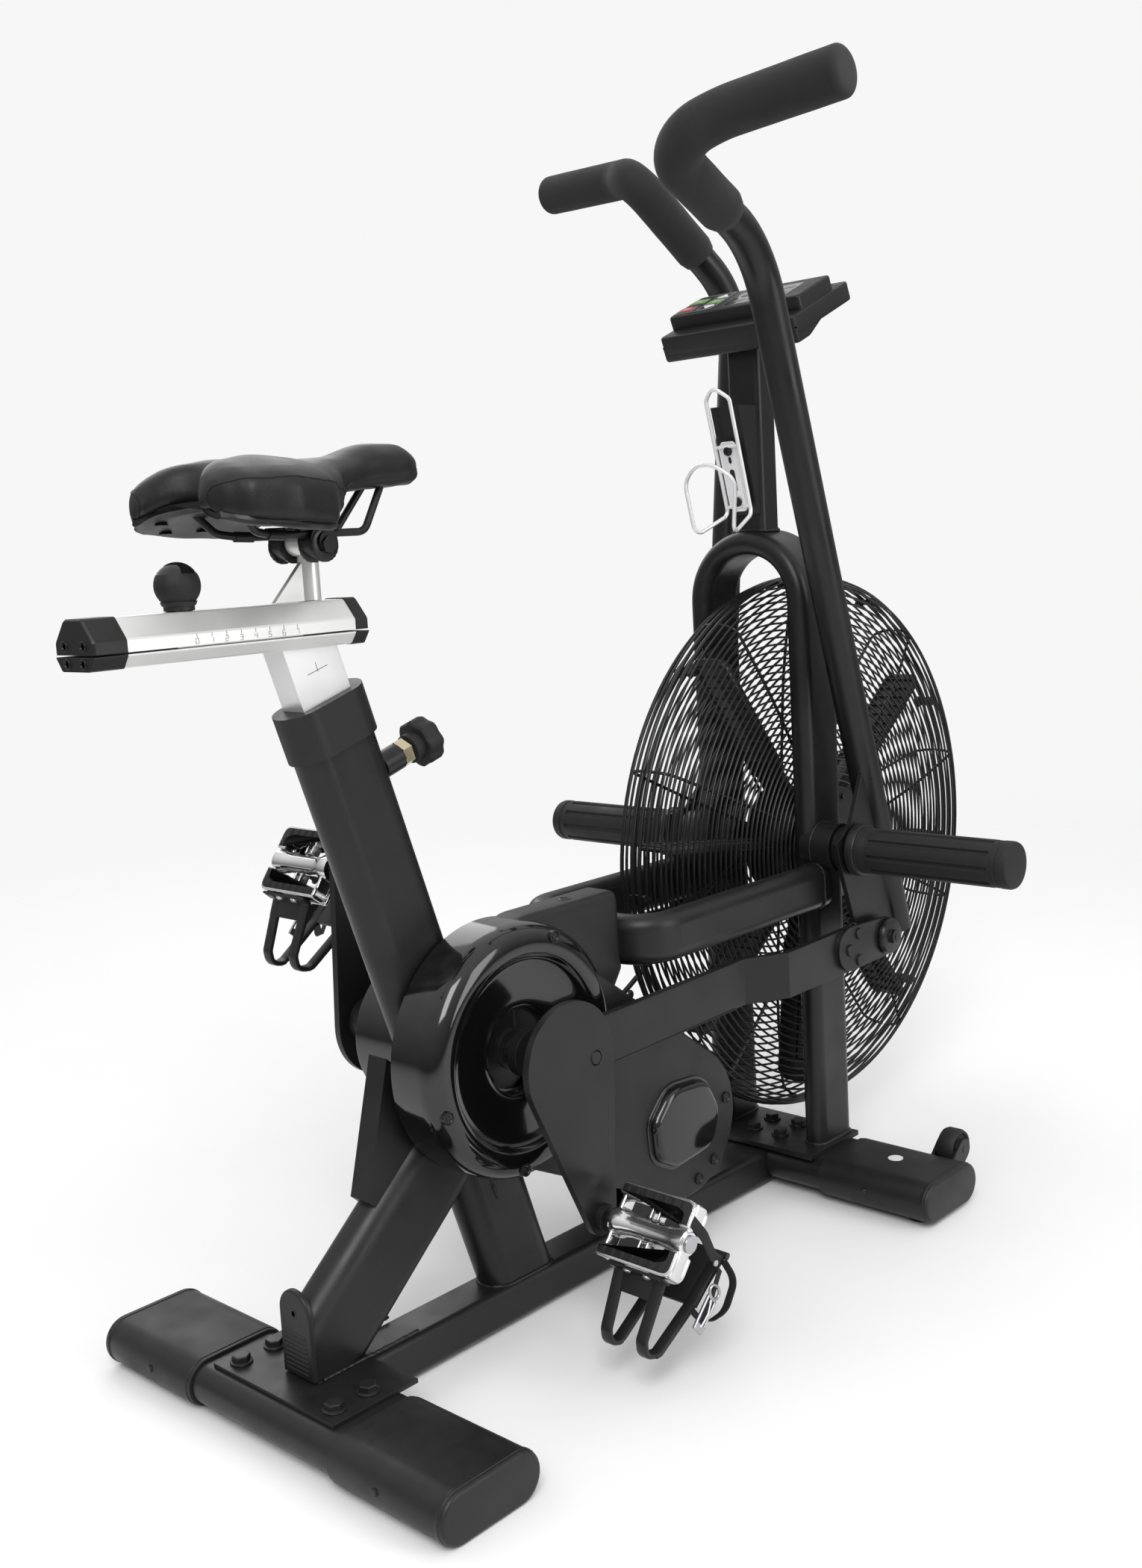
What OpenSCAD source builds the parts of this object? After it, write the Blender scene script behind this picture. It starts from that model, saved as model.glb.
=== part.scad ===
// Air bike: welded steel frame, paddle fan in a wire guard, swinging handle arms
// linked to the cranks, and an adjustable saddle. +X is forward, +Y is the rider's
// left, +Z is up. The origin is on the floor, under the middle of the bike.

/* [Stabilisers and base] */
// Length of each stabiliser, across the bike
stab_len = 505; // [440:5:560]
// Width of the flat-oval stabiliser tube
stab_w = 108; // [90:1:120]
// Height of the flat-oval stabiliser tube
stab_h = 40; // [36:1:44]
// Wall of the plastic end sleeves
sleeve_wall = 4; // [3:0.5:5]
// Centre of the rear stabiliser, along X
rear_x = -507; // [-520:1:-500]
// Centre of the front stabiliser, along X
front_x = 243; // [238:1:248]
// Width of the base beam
beam_w = 50; // [40:1:60]

/* [Seat tube and saddle slide] */
// Length of the seat tube along its own axis
seat_tube_len = 639; // [620:1:650]
// Backward lean of the seat tube
seat_lean = 17.65; // [17:0.05:18.5]
// Long side of the seat tube's flat-oval section
seat_tube_w = 88; // [84:1:92]
// Short side of the seat tube's flat-oval section
seat_tube_t = 44; // [42:1:48]
// Length of the saddle slide
slide_len = 237; // [220:1:250]

/* [Cranks] */
// Distance from the crank axis to the pedal axis
crank_len = 169; // [160:1:175]
// Offset of the link pin from the crank axis
link_throw = 26; // [22:1:30]
// Angle of the right crank, forward of straight down
crank_angle = 10.9; // [5:0.1:16]
// Pitch radius of the chainring
chainring_r = 85; // [70:1:92]
// Pitch radius of the jackshaft sprocket
jack_sprocket_r = 28; // [22:1:34]
// Pitch radius of the jackshaft pulley
jack_pulley_r = 72; // [60:1:76]
// Pitch radius of the fan pulley
fan_pulley_r = 22; // [18:1:26]

/* [Fan] */
// Outer radius of the fan guard
guard_r = 336; // [320:1:340]
// Wire radius of the guard's rings
guard_wire_r = 1.6; // [1.2:0.1:2]
// Number of rings in each guard half
guard_rings = 26; // [16:1:36]
// Number of fan paddles
paddles = 8; // [6:1:10]
// Outer radius of the fan
fan_r = 312; // [290:1:316]

/* [Handle arms] */
// Radius of the handle tube
arm_r = 19; // [17:0.5:20]
// Radius of the foam grip
foam_r = 24; // [22:0.5:25]
// Swing of each arm away from its middle position, as built
arm_swing = 12; // [8:0.5:14]

/* [Hidden] */
$fn = 64;

BLACK = "#1d1d1f";
GLOSS = "#0b0b0c";
STEEL = "#8f9296";
SILVER = "#d9dadc";
RUBBER = "#161616";
tube_wall = 3;
fit_gap = 0.2;
run_gap = 0.05;
cut = 1;

// Base
rear_z = 24;
front_z = 28;
beam_low = 3;
beam_high = 45;
flange_t = 4;
front_flange_t = 6;
seat_foot = [-225.4, 0, 44];
strut_foot = [-495, 0, 60.3];
strut_lean = 49.8;
strut_w = 96;
strut_face_x = -505;
bolt_rows_rear = [-525, -486];
bolt_rows_front = [229, 268];
bolt_y_rear = 70;
bolt_y_front = 20;

// Uprights and mast
upright_x = 259;
upright_y = 71;
upright_l = 72;
upright_t = 29;
arch_z = 718;
mast_x = 255;
mast_w = 46;
mast_d = 36;
mast_top = 1040;
rail_y = 88;
rail_h = 55;
rail_t = 30;
rail_z = 381;

// Pivots
peg = [247, 0, 425];
peg_boss_r = 29;
peg_end_y = 338;
peg_r = 27;
arm_y = 122;
plate_in = 125;
plate_out = 131;
hub_in = 114;
hub_r = 25;
axle_r = 10;
link_pivot = [19.6, -119.3];

// Cranks
crank = [-267, 0, 310];
jack = [-30, 0, 163];
shell_r = 27;
bearing_r = 21;
spindle_r = 11;
shell_y = 40;
recess_y = 74;
cover_face = 86;
cover_wall = 3;
chain_y = 56;
belt_y = 52;
web_y = [77, 89];
link_rear_y = [104, 112];
link_front_y = [124, 132];
plate_y = [134, 142];
pedal_y = [158, 250];
head_r = 60;
tail_r = 19;

// Fan
fan = [336, 0, 409];
fan_axle_r = 7.5;
rim_y = 25;
face_y = 43;

// Saddle slide, from the rear end to the front end
slide_x0 = -634;
slide_x1 = slide_x0 + slide_len;
slide_low = 722;
slide_split = 734;
slide_side = 745;
slide_high = 763;
slide_half = 28;
post_w = 58;
post_t = 30;

// ---------- Vector helpers

function unit(v) = v / norm(v);
function side_of(d) = unit(cross(d, abs(d[2]) < 0.9 ? [0, 0, 1] : [1, 0, 0]));
function turn_at(a, b, c) = acos(unit(b - a) * unit(c - b));
function setback(a, b, c, r) = r * tan(turn_at(a, b, c) / 2);
function placed(p, x, y, z) = [
  [x[0], y[0], z[0], p[0]],
  [x[1], y[1], z[1], p[1]],
  [x[2], y[2], z[2], p[2]],
  [0, 0, 0, 1]
];
function polar(c, r, a) = [c[0] + r * cos(a), c[1] + r * sin(a)];
// Rotates the X-Z pair of a point about the origin, top forward for a positive angle
function swung(p, a) = [p[0] * cos(a) + p[1] * sin(a), p[1] * cos(a) - p[0] * sin(a)];
// Direction in the X-Z plane of the outer tangent between two circles
function tangent_angle(a, ra, b, rb) =
  atan2(b[1] - a[1], b[0] - a[0]) + acos((ra - rb) / norm(b - a));
function tangent_angle_low(a, ra, b, rb) =
  atan2(b[1] - a[1], b[0] - a[0]) - acos((ra - rb) / norm(b - a));

// ---------- Shape helpers

module both_sides() {
  children();
  mirror([0, 1, 0]) children();
}

module stadium(l, w) {
  square([l - w, w], center = true);
  translate([(l - w) / 2, 0]) circle(d = w);
  translate([-(l - w) / 2, 0]) circle(d = w);
}

module stadium_ring(l, w, t) {
  difference() {
    stadium(l, w);
    stadium(l - 2 * t, w - 2 * t);
  }
}

module rounded(w, h, r) {
  square([w - 2 * r, h], center = true);
  square([w, h - 2 * r], center = true);
  for (x = [-1, 1], y = [-1, 1])
    translate([x * (w / 2 - r), y * (h / 2 - r)]) circle(r);
}

module rounded_ring(w, h, r, t) {
  difference() {
    rounded(w, h, r);
    rounded(w - 2 * t, h - 2 * t, r - t);
  }
}

module ring(ro, ri) {
  difference() {
    circle(ro);
    circle(ri);
  }
}

// Two circles joined by their outer tangents, drawn a hair proud so the joints are clean
lip = 0.15;

module two_circle(a, ra, b, rb) {
  up = tangent_angle(a, ra, b, rb);
  low = tangent_angle_low(a, ra, b, rb);
  translate(a) circle(ra);
  translate(b) circle(rb);
  polygon([
    polar(a, ra + lip, up), polar(b, rb + lip, up), polar(b, rb + lip, low), polar(a, ra + lip, low)
  ]);
}

// Stands a shape drawn in X-Z on the plane Y = y0, thick towards Y = y1
module upright_plate(y0, y1) {
  translate([0, max(y0, y1), 0]) rotate([90, 0, 0]) linear_extrude(abs(y1 - y0)) children();
}

// A round bar or hole along Y, between two Y values
module y_bar(c, r, y0, y1) {
  translate([c[0], max(y0, y1), c[2]]) rotate([90, 0, 0]) cylinder(r = r, h = abs(y1 - y0));
}

module run_between(a, b) {
  d = unit(b - a);
  x = side_of(d);
  multmatrix(placed(a, x, cross(d, x), d)) linear_extrude(norm(b - a)) children();
}

module bend_at(a, b, c, r) {
  d = unit(b - a);
  n = unit(cross(d, unit(c - b)));
  m = cross(n, d);
  start = b - d * setback(a, b, c, r);
  multmatrix(placed(start + m * r, -m, d, n))
    rotate_extrude(angle = turn_at(a, b, c)) translate([r, 0]) children();
}

// A round tube or bar swept along a path whose corners are rounded. The bends are a
// hair thicker and the straights reach into them, so the joints fuse cleanly.
bend_proud = 0.15;
bend_lap = 1.5;

module bent_tube(p, radii, ro, ri = 0) {
  last = len(p) - 1;
  for (i = [0 : last - 1]) {
    d = unit(p[i + 1] - p[i]);
    from = i == 0 ? p[0] : p[i] + d * setback(p[i - 1], p[i], p[i + 1], radii[i - 1]);
    to = i == last - 1 ? p[last] : p[i + 1] - d * setback(p[i], p[i + 1], p[i + 2], radii[i]);
    lap_in = i == 0 ? 0 : bend_lap;
    lap_out = i == last - 1 ? 0 : bend_lap;
    run_between(from - d * lap_in, to + d * lap_out) tube_section(ro, ri);
    if (i < last - 1)
      bend_at(p[i], p[i + 1], p[i + 2], radii[i])
        tube_section(ro + bend_proud, ri > 0 ? ri + bend_proud : 0);
  }
}

module tube_section(ro, ri) {
  if (ri > 0) ring(ro, ri);
  else circle(ro);
}

module hex_bolt(r, head_r, head_h, length) {
  cylinder(r = head_r, h = head_h, $fn = 6);
  translate([0, 0, -length]) cylinder(r = r, h = length);
}

// Children are drawn with Z along the seat tube, from its foot
module along_seat_tube() {
  translate(seat_foot) rotate([0, -seat_lean, 0]) children();
}

// ---------- Main frame

module seat_tube_outer() {
  along_seat_tube() translate([0, 0, -14])
    linear_extrude(seat_tube_len + 14) stadium(seat_tube_w, seat_tube_t);
}

module seat_tube_inner() {
  along_seat_tube() translate([0, 0, -15])
    linear_extrude(seat_tube_len + 20)
      stadium(seat_tube_w - 2 * tube_wall, seat_tube_t - 2 * tube_wall);
}

module rear_strut() {
  difference() {
    translate(strut_foot) rotate([0, strut_lean, 0]) translate([0, 0, -60])
      linear_extrude(320) stadium_ring(strut_w, seat_tube_t, tube_wall);
    seat_tube_outer();
    translate([-700, -50, -50]) cube([400, 100, 48 + 50]);
    translate([strut_face_x - 200, -50, 0]) cube([200, 100, 300]);
  }
}

module strut_gusset() {
  difference() {
    upright_plate(-13, 13) polygon([[-388, 325], [-424, 193], [-400, 170], [-340, 215], [-350, 290]]);
    seat_tube_outer();
    translate(strut_foot) rotate([0, strut_lean, 0]) translate([0, 0, -60])
      linear_extrude(320) stadium(strut_w, seat_tube_t);
  }
}

module base_beam() {
  difference() {
    translate([rear_x + 20, 0, (beam_low + beam_high) / 2]) rotate([90, 0, 90])
      linear_extrude(front_x - rear_x - 40)
        rounded_ring(beam_w, beam_high - beam_low, 7, tube_wall);
    stabiliser_space(rear_x, rear_z);
    stabiliser_space(front_x, front_z);
  }
}

module stabiliser_space(x, z) {
  translate([x, 60, z]) rotate([90, 0, 0])
    linear_extrude(120) stadium(stab_w + 2 * fit_gap, stab_h + 2 * fit_gap);
}

module rear_flange() {
  difference() {
    translate([rear_x - 36, -90, rear_z + stab_h / 2]) cube([100, 180, flange_t]);
    for (x = bolt_rows_rear, y = [-1, 1])
      translate([x, y * bolt_y_rear, 0]) cylinder(r = 5.5, h = 100);
  }
}

// Side rails leave the top beam sideways and bend forward to the uprights
module side_rail() {
  bend_r = 40;
  x0 = -88;
  translate([x0 + bend_r, -rail_y + bend_r, rail_z]) rotate([0, 0, 180])
    rotate_extrude(angle = 90) translate([bend_r, 0]) rotate(90)
      stadium_ring(rail_h, rail_t, tube_wall);
  translate([x0 + bend_r, -rail_y, rail_z]) rotate([90, 0, 90]) linear_extrude(238 - x0 - bend_r)
    rotate(90) stadium_ring(rail_h, rail_t, tube_wall);
  translate([x0, -rail_y + bend_r, rail_z]) rotate([-90, 0, 0])
    linear_extrude(rail_y - bend_r) rotate(90) stadium_ring(rail_h, rail_t, tube_wall);
}

// Room for the uprights and for the peg bosses on them
module side_rail_cut() both_sides() {
  translate([upright_x, upright_y, 300]) linear_extrude(160)
    stadium(upright_l + 2 * fit_gap, upright_t + 2 * fit_gap);
  y_bar(peg, peg_boss_r + fit_gap, upright_y - 20, hub_in);
}

module jack_bracket() {
  for (s = [-1, 1])
    upright_plate(s * 19, s * 24) polygon([
      [jack[0] - 45, beam_high - 2], [jack[0] + 45, beam_high - 2],
      [jack[0] + 24, jack[2]], [jack[0] - 24, jack[2]]
    ]);
}

module main_frame() color(BLACK) {
  difference() {
    union() {
      base_beam();
      difference() {
        seat_tube_outer();
        seat_tube_inner();
      }
      rear_strut();
      strut_gusset();
      rear_flange();
      difference() {
        translate([-330, 0, rail_z]) rotate([90, 0, 90]) linear_extrude(257) rounded_ring(44, 62, 8, tube_wall);
        seat_tube_outer();
      }
      difference() {
        both_sides() side_rail();
        side_rail_cut();
      }
      y_bar(crank, shell_r, -shell_y, shell_y);
      y_bar(jack, shell_r, -shell_y, shell_y);
      jack_bracket();
      along_seat_tube() translate([seat_tube_w / 2 - 2, 0, 572]) rotate([0, 90, 0]) cylinder(r = 13, h = 24);
    }
    y_bar(crank, bearing_r, -shell_y - cut, shell_y + cut);
    y_bar(jack, bearing_r, -shell_y - cut, shell_y + cut);
    along_seat_tube() translate([30, 0, 572]) rotate([0, 90, 0]) cylinder(r = 8, h = 60);
    for (s = [-1, 1]) translate([206, s * rail_y, 390]) cylinder(r = 3, h = 60);
  }
}

// ---------- Front frame

module upright_pair() {
  for (s = [-1, 1])
    translate([upright_x, s * upright_y, front_z + stab_h / 2 + 2])
      linear_extrude(arch_z - front_z - stab_h / 2 - 2) stadium_ring(upright_l, upright_t, tube_wall);
  translate([upright_x, 0, arch_z]) rotate([90, 0, 90]) rotate_extrude(angle = 180)
    translate([upright_y, 0]) rotate(90) stadium_ring(upright_l, upright_t, tube_wall);
}

module front_flange() {
  difference() {
    translate([front_x - 52, -92, front_z + stab_h / 2]) cube([104, 184, front_flange_t]);
    for (x = bolt_rows_front, y = [-1, 1])
      translate([x, y * bolt_y_front, 0]) cylinder(r = 5.5, h = 100);
  }
}

module fan_bracket() {
  upright_plate(59, 64) difference() {
    two_circle([fan[0], fan[2]], 17, [upright_x + 28, fan[2]], 26);
    translate([fan[0], fan[2]]) circle(fan_axle_r + fit_gap);
  }
}

module front_frame() color(BLACK) {
  difference() {
    union() {
      upright_pair();
      front_flange();
      translate([mast_x, 0, arch_z + upright_y + upright_t / 2 - 3])
        linear_extrude(mast_top - arch_z - upright_y - upright_t / 2 + 3)
          rounded_ring(mast_d, mast_w, 8, tube_wall);
      both_sides() y_bar(peg, peg_boss_r, -upright_y, -hub_in + 1.5);
      both_sides() fan_bracket();
    }
    both_sides() y_bar(peg, axle_r + run_gap, -50, -130);
  }
}

// ---------- Stabilisers, feet and wheels

module stabiliser_tube(x, z, rows, y) {
  difference() {
    translate([x, stab_len / 2 - 6, z]) rotate([90, 0, 0])
      linear_extrude(stab_len - 12) stadium_ring(stab_w, stab_h, tube_wall);
    for (bx = rows, s = [-1, 1])
      translate([bx, s * y, 0]) cylinder(r = 5.5, h = 100);
  }
}

module rear_stabiliser() color(BLACK) stabiliser_tube(rear_x, rear_z, bolt_rows_rear, bolt_y_rear);

wheel = [front_x + 76, 0, 51];
wheel_y = [200, 222];

module wheel_bracket() {
  for (y = [wheel_y[0] - 4.5, wheel_y[1] + 1])
    upright_plate(-y, -y - 3.5) difference() {
      two_circle([wheel[0], wheel[2]], 13, [front_x + 48, front_z], 12);
      translate([wheel[0], wheel[2]]) circle(4);
    }
  y_bar(wheel, 4, -wheel_y[0] + 5, -wheel_y[1] - 5);
}

module front_stabiliser() color(BLACK) {
  difference() {
    stabiliser_tube(front_x, front_z, bolt_rows_front, bolt_y_front);
    for (s = [-1, 1]) translate([front_x - 20, s * 225, 0]) cylinder(r = 5.05, h = 15);
  }
  difference() {
    both_sides() wheel_bracket();
    stabiliser_core();
  }
}

module stabiliser_core() {
  translate([front_x, 300, front_z]) rotate([90, 0, 0]) linear_extrude(600) stadium(stab_w - 1, stab_h - 1);
}

module sleeve(x, z) {
  translate([x, -stab_len / 2 + 148, z]) rotate([90, 0, 0]) linear_extrude(148)
    difference() {
      stadium(stab_w + 2 * sleeve_wall, stab_h + 2 * sleeve_wall);
      stadium(stab_w + 2 * fit_gap, stab_h + 2 * fit_gap);
    }
  translate([x, -stab_len / 2 + 5, z]) rotate([90, 0, 0])
    linear_extrude(5) stadium(stab_w + 2 * sleeve_wall, stab_h + 2 * sleeve_wall);
}

module stabiliser_sleeves() color(BLACK) both_sides() {
  sleeve(rear_x, rear_z);
  difference() {
    sleeve(front_x, front_z);
    translate([front_x - 20, -225, 0]) cylinder(r = 6, h = 15);
    both_sides() for (y = [wheel_y[0] - 5, wheel_y[1] + 0.5])
      upright_plate(-y, -y - 4.5) two_circle([wheel[0], wheel[2]], 14, [front_x + 48, front_z], 13);
  }
}

// Bolts on round washers, in two rows either side of the middle
module bolt_set(rows, y, z, under) {
  for (x = rows, s = [-1, 1]) translate([x, s * y, z]) {
    cylinder(r = 11, h = 2);
    translate([0, 0, 2]) hex_bolt(5, 9, 6, under);
  }
}

module stabiliser_bolts() color(STEEL) {
  bolt_set(bolt_rows_rear, bolt_y_rear, rear_z + stab_h / 2 + flange_t, 40);
  bolt_set(bolt_rows_front, bolt_y_front, front_z + stab_h / 2 + front_flange_t, 40);
}

module levelling_foot(s) {
  color(RUBBER) translate([front_x - 20, s * 225, 0]) {
    cylinder(r = 17, h = 3.5);
    cylinder(r = 5, h = 12);
  }
}

module transport_wheel(s) {
  y0 = s > 0 ? wheel_y[0] : -wheel_y[1];
  color(RUBBER) difference() {
    y_bar(wheel, 23, y0, y0 + wheel_y[1] - wheel_y[0]);
    y_bar(wheel, 4.05, y0 - cut, y0 + wheel_y[1] - wheel_y[0] + cut);
  }
}

// ---------- Seat tube fittings

module strut_end_cap() color(RUBBER) {
  difference() {
    union() {
      translate([strut_face_x - 12, -24, 49]) cube([11.8, 48, 62]);
      translate([strut_face_x - 12, 0, 111]) rotate([0, 90, 0]) cylinder(r = 24, h = 11.8);
    }
    for (i = [0 : 4])
      translate([strut_face_x - 13, -25, 62 + 14 * i]) cube([3, 50, 4]);
  }
}

module seat_collar() color(RUBBER) along_seat_tube() difference() {
  union() {
    translate([0, 0, seat_tube_len - 24]) linear_extrude(24 + fit_gap)
      difference() {
        stadium(seat_tube_w + 8, seat_tube_t + 8);
        stadium(seat_tube_w + 2 * fit_gap, seat_tube_t + 2 * fit_gap);
      }
    translate([0, 0, seat_tube_len + fit_gap]) linear_extrude(22)
      stadium(seat_tube_w + 8, seat_tube_t + 8);
    translate([0, 0, seat_tube_len - 40]) linear_extrude(41)
      stadium(seat_tube_w - 2 * tube_wall - fit_gap, seat_tube_t - 2 * tube_wall - fit_gap);
  }
  translate([0, 0, seat_tube_len - 50]) linear_extrude(90)
    square([post_w + 2 * fit_gap, post_t + 2 * fit_gap], center = true);
}

module pop_pin_nut() color("#b9a56a") along_seat_tube() translate([0, 0, 572]) rotate([0, 90, 0])
  difference() {
    union() {
      translate([0, 0, 66.2]) cylinder(r = 14, h = 11, $fn = 6);
      translate([0, 0, 46]) cylinder(r = 7.9, h = 21);
    }
    translate([0, 0, 40]) cylinder(r = 4.05, h = 60);
  }

module pop_pin() color(RUBBER) along_seat_tube() translate([0, 0, 572]) rotate([0, 90, 0]) {
  translate([0, 0, 30]) cylinder(r = 4, h = 60);
  translate([0, 0, 84]) cylinder(r = 15, h = 6);
  translate([0, 0, 90]) cylinder(r = 23, h = 16);
  translate([0, 0, 106]) cylinder(r1 = 23, r2 = 16, h = 7);
}

module seat_post() color(SILVER) {
  difference() {
    along_seat_tube() translate([0, 0, 400]) linear_extrude(340)
      difference() {
        square([post_w, post_t], center = true);
        square([post_w - 5, post_t - 5], center = true);
      }
    translate([-700, -60, slide_low - fit_gap]) cube([600, 120, 200]);
  }
}

module slide_prism(x0, x1, points) {
  translate([x0, 0, 0]) rotate([90, 0, 90]) linear_extrude(x1 - x0) polygon(points);
}

function mirrored(p) = concat(p, [for (i = [len(p) - 1 : -1 : 0]) [-p[i][0], p[i][1]]]);

module slider_rail() color(SILVER) {
  gap = 0.6;
  difference() {
    union() {
      slide_prism(slide_x0 - 30, slide_x1 + 14,
        mirrored([[slide_half - 9, slide_low], [slide_half, slide_split - gap]]));
      slide_prism(slide_x0 + 52, slide_x1 - 52,
        mirrored([[19.4, slide_split - gap - cut], [19.4, slide_side - 3], [8.6, slide_high - 8]]));
    }
    slide_prism(slide_x0 + 30, slide_x1 - 30,
      mirrored([[14, slide_low + 3], [14, slide_side - 6], [6, slide_high - 12]]));
  }
}

module slider_carriage() color(SILVER) {
  gap = 0.6;
  difference() {
    slide_prism(slide_x0, slide_x1, mirrored([
      [slide_half, slide_split + gap], [slide_half, slide_side], [12, slide_high]
    ]));
    slide_prism(slide_x0 - cut, slide_x1 + cut, mirrored([
      [20, slide_split - gap], [20, slide_side - 2.6], [9, slide_high - 7]
    ]));
    translate([-563, 0, 750]) cylinder(r = 4.05, h = 40);
  }
}

module slider_cap(x0, x1) {
  slide_prism(x0, x1, mirrored([
    [slide_half + 1, slide_split + 0.6], [slide_half + 1, slide_side + 0.5], [12.5, slide_high + 1]
  ]));
}

module slider_caps() color(RUBBER) {
  slider_cap(slide_x0 - 30, slide_x0 - fit_gap);
  slider_cap(slide_x1 + fit_gap, slide_x1 + 14);
}

module clamp_knob() color(GLOSS) translate([-563, 0, 0]) {
  translate([0, 0, 757]) cylinder(r = 4, h = 20);
  translate([0, 0, 763.4]) cylinder(r = 12, h = 5);
  translate([0, 0, 768]) cylinder(r1 = 14, r2 = 18.5, h = 12);
  translate([0, 0, 784]) sphere(19.5);
}

// ---------- Saddle

saddle_post_x = -424;
clamp_z = 815;
rail_wire_y = 22;

tilt_c = [saddle_post_x - 4, 0, clamp_z];

module saddle_mount() color(STEEL) {
  base = slide_high + fit_gap;
  difference() {
    union() {
      translate([saddle_post_x, 0, base]) cylinder(r = 9.5, h = clamp_z - base - 4);
      upright_plate(-2.5, 2.5) polygon([
        [saddle_post_x, base], [saddle_post_x - 42, base],
        [saddle_post_x - 6, base + 38], [saddle_post_x, base + 38]
      ]);
      y_bar(tilt_c, 12, -11, 11);
    }
    y_bar(tilt_c, 5 + run_gap, -40, 40);
  }
}

// Two cheeks on a cross bolt, gripping the saddle's wire rails
module saddle_clamp() color(STEEL) difference() {
  union() {
    both_sides() y_bar(tilt_c, 15, -12, -31);
    y_bar(tilt_c, 5, -38, 38);
    both_sides() y_bar(tilt_c, 9, -31, -36);
  }
  for (s = [-1, 1]) translate([saddle_post_x - 60, s * rail_wire_y, clamp_z + 7])
    rotate([0, 90, 0]) cylinder(r = 3.55, h = 120);
}

saddle_rear_x = -560;
saddle_nose_x = -297;
pan_z = 842;

module saddle_outline(grow) {
  translate([saddle_rear_x + 62, 48]) circle(56 + grow);
  translate([saddle_rear_x + 62, -48]) circle(56 + grow);
  translate([saddle_nose_x - 22, 0]) circle(22 + grow);
  polygon([
    [saddle_rear_x + 6 - grow, 40], [saddle_rear_x + 6 - grow, -40],
    [saddle_rear_x + 80, -104 - grow], [saddle_rear_x + 150, -46 - grow],
    [saddle_nose_x - 24, -22 - grow], [saddle_nose_x - 24, 22 + grow],
    [saddle_rear_x + 150, 46 + grow], [saddle_rear_x + 80, 104 + grow]
  ]);
}

// Plastic pan and the two wire rails under the saddle
module saddle_frame() color(RUBBER) {
  translate([0, 0, pan_z]) linear_extrude(7) saddle_outline(-8);
  for (s = [-1, 1]) {
    rail = [
      [saddle_rear_x + 40, s * 34, pan_z + 3], [saddle_post_x - 70, s * rail_wire_y, clamp_z + 7],
      [saddle_post_x + 50, s * rail_wire_y, clamp_z + 7], [saddle_nose_x - 30, s * 10, pan_z + 3]
    ];
    bent_tube(rail, [25, 25], 3.5);
  }
}

module saddle() color(RUBBER) {
  translate([0, 0, pan_z + 7.2]) linear_extrude(38) saddle_outline(0);
  translate([0, 0, pan_z - 16]) linear_extrude(24) difference() {
    saddle_outline(0);
    saddle_outline(-6);
  }
}

// ---------- Covers

function crank_xz() = [crank[0], crank[2]];
function jack_xz() = [jack[0], jack[2]];

module cover_outline(r_crank, r_jack) {
  two_circle(crank_xz(), r_crank, jack_xz(), r_jack);
}

drum_r = 128;
box_face = 62;

module cover_right_outline(grow) {
  translate(crank_xz()) circle(drum_r + grow);
  cover_outline(112 + grow, 84 + grow);
}

// The box on top of the drum, shallower than the drum itself
module cover_box_outline(grow) {
  polygon([
    [-250 - grow, 400], [-238, 439 + grow], [-96 + grow, 439 + grow],
    [-96 + grow, 352 - grow], [-130, 310], [-250, 300]
  ]);
}

module cover_right() color(GLOSS) {
  difference() {
    union() {
      upright_plate(-30, -cover_face) cover_right_outline(0);
      upright_plate(-30, -box_face) cover_box_outline(0);
      upright_plate(-cover_face + cut, -cover_face - 5)
        two_circle([jack[0] + 6, jack[2] + 4], 40, [jack[0] - 20, jack[2] - 4], 44);
    }
    upright_plate(-28, -recess_y + cover_wall) cover_right_outline(-cover_wall);
    upright_plate(-28, -box_face + cover_wall) cover_box_outline(-cover_wall);
    upright_plate(-60, -cover_face + cover_wall) difference() {
      cover_right_outline(-cover_wall);
      translate(crank_xz()) circle(70);
      for (p = screw_points()) translate(p) circle(6);
    }
    y_bar(crank, 66, -recess_y, -100);
    y_bar(crank, 14, -50, -100);
    for (p = screw_points())
      translate([p[0], 0, p[1]]) rotate([90, 0, 0]) cylinder(r = 3, h = 200);
    shell_clearance();
    upright_plate(-20, -rail_y - 30) translate([-88, rail_z]) rotate(90) stadium(rail_h + 1, rail_t + 1);
  }
}

function screw_points() = [
  polar(crank_xz(), 116, 68), polar(crank_xz(), 117, 196),
  polar(crank_xz(), 116, 262), [-112, 330], polar(jack_xz(), 70, 8),
  polar(jack_xz(), 70, -78), polar(jack_xz(), 70, -52)
];

module shell_clearance() {
  y_bar(crank, shell_r + 1, 0, -shell_y - 1);
  y_bar(jack, shell_r + 1, 0, -shell_y - 1);
}

module cover_left_outline(grow) {
  cover_outline(78 + grow, 84 + grow);
}

module cover_left() color(GLOSS) {
  difference() {
    upright_plate(30, cover_face) cover_left_outline(0);
    upright_plate(28, recess_y - cover_wall) cover_left_outline(-cover_wall);
    upright_plate(60, cover_face - cover_wall) difference() {
      cover_left_outline(-cover_wall);
      translate(crank_xz()) circle(69);
    }
    y_bar(crank, 66, recess_y, 100);
    y_bar(crank, 14, 50, 100);
    translate([0, belt_y - 8, 0]) rotate([90, 0, 0]) mirror([0, 0, 1]) linear_extrude(16)
      belt_outline(jack_pulley_r + 6, fan_pulley_r + 6);
  }
}

module cover_screws() color(STEEL)
  for (p = screw_points()) translate([p[0], -cover_face + 6, p[1]]) rotate([90, 0, 0]) {
    cylinder(r = 2.9, h = 3);
    translate([0, 0, -16]) cylinder(r = 2, h = 17);
  }

// ---------- Drive

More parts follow.
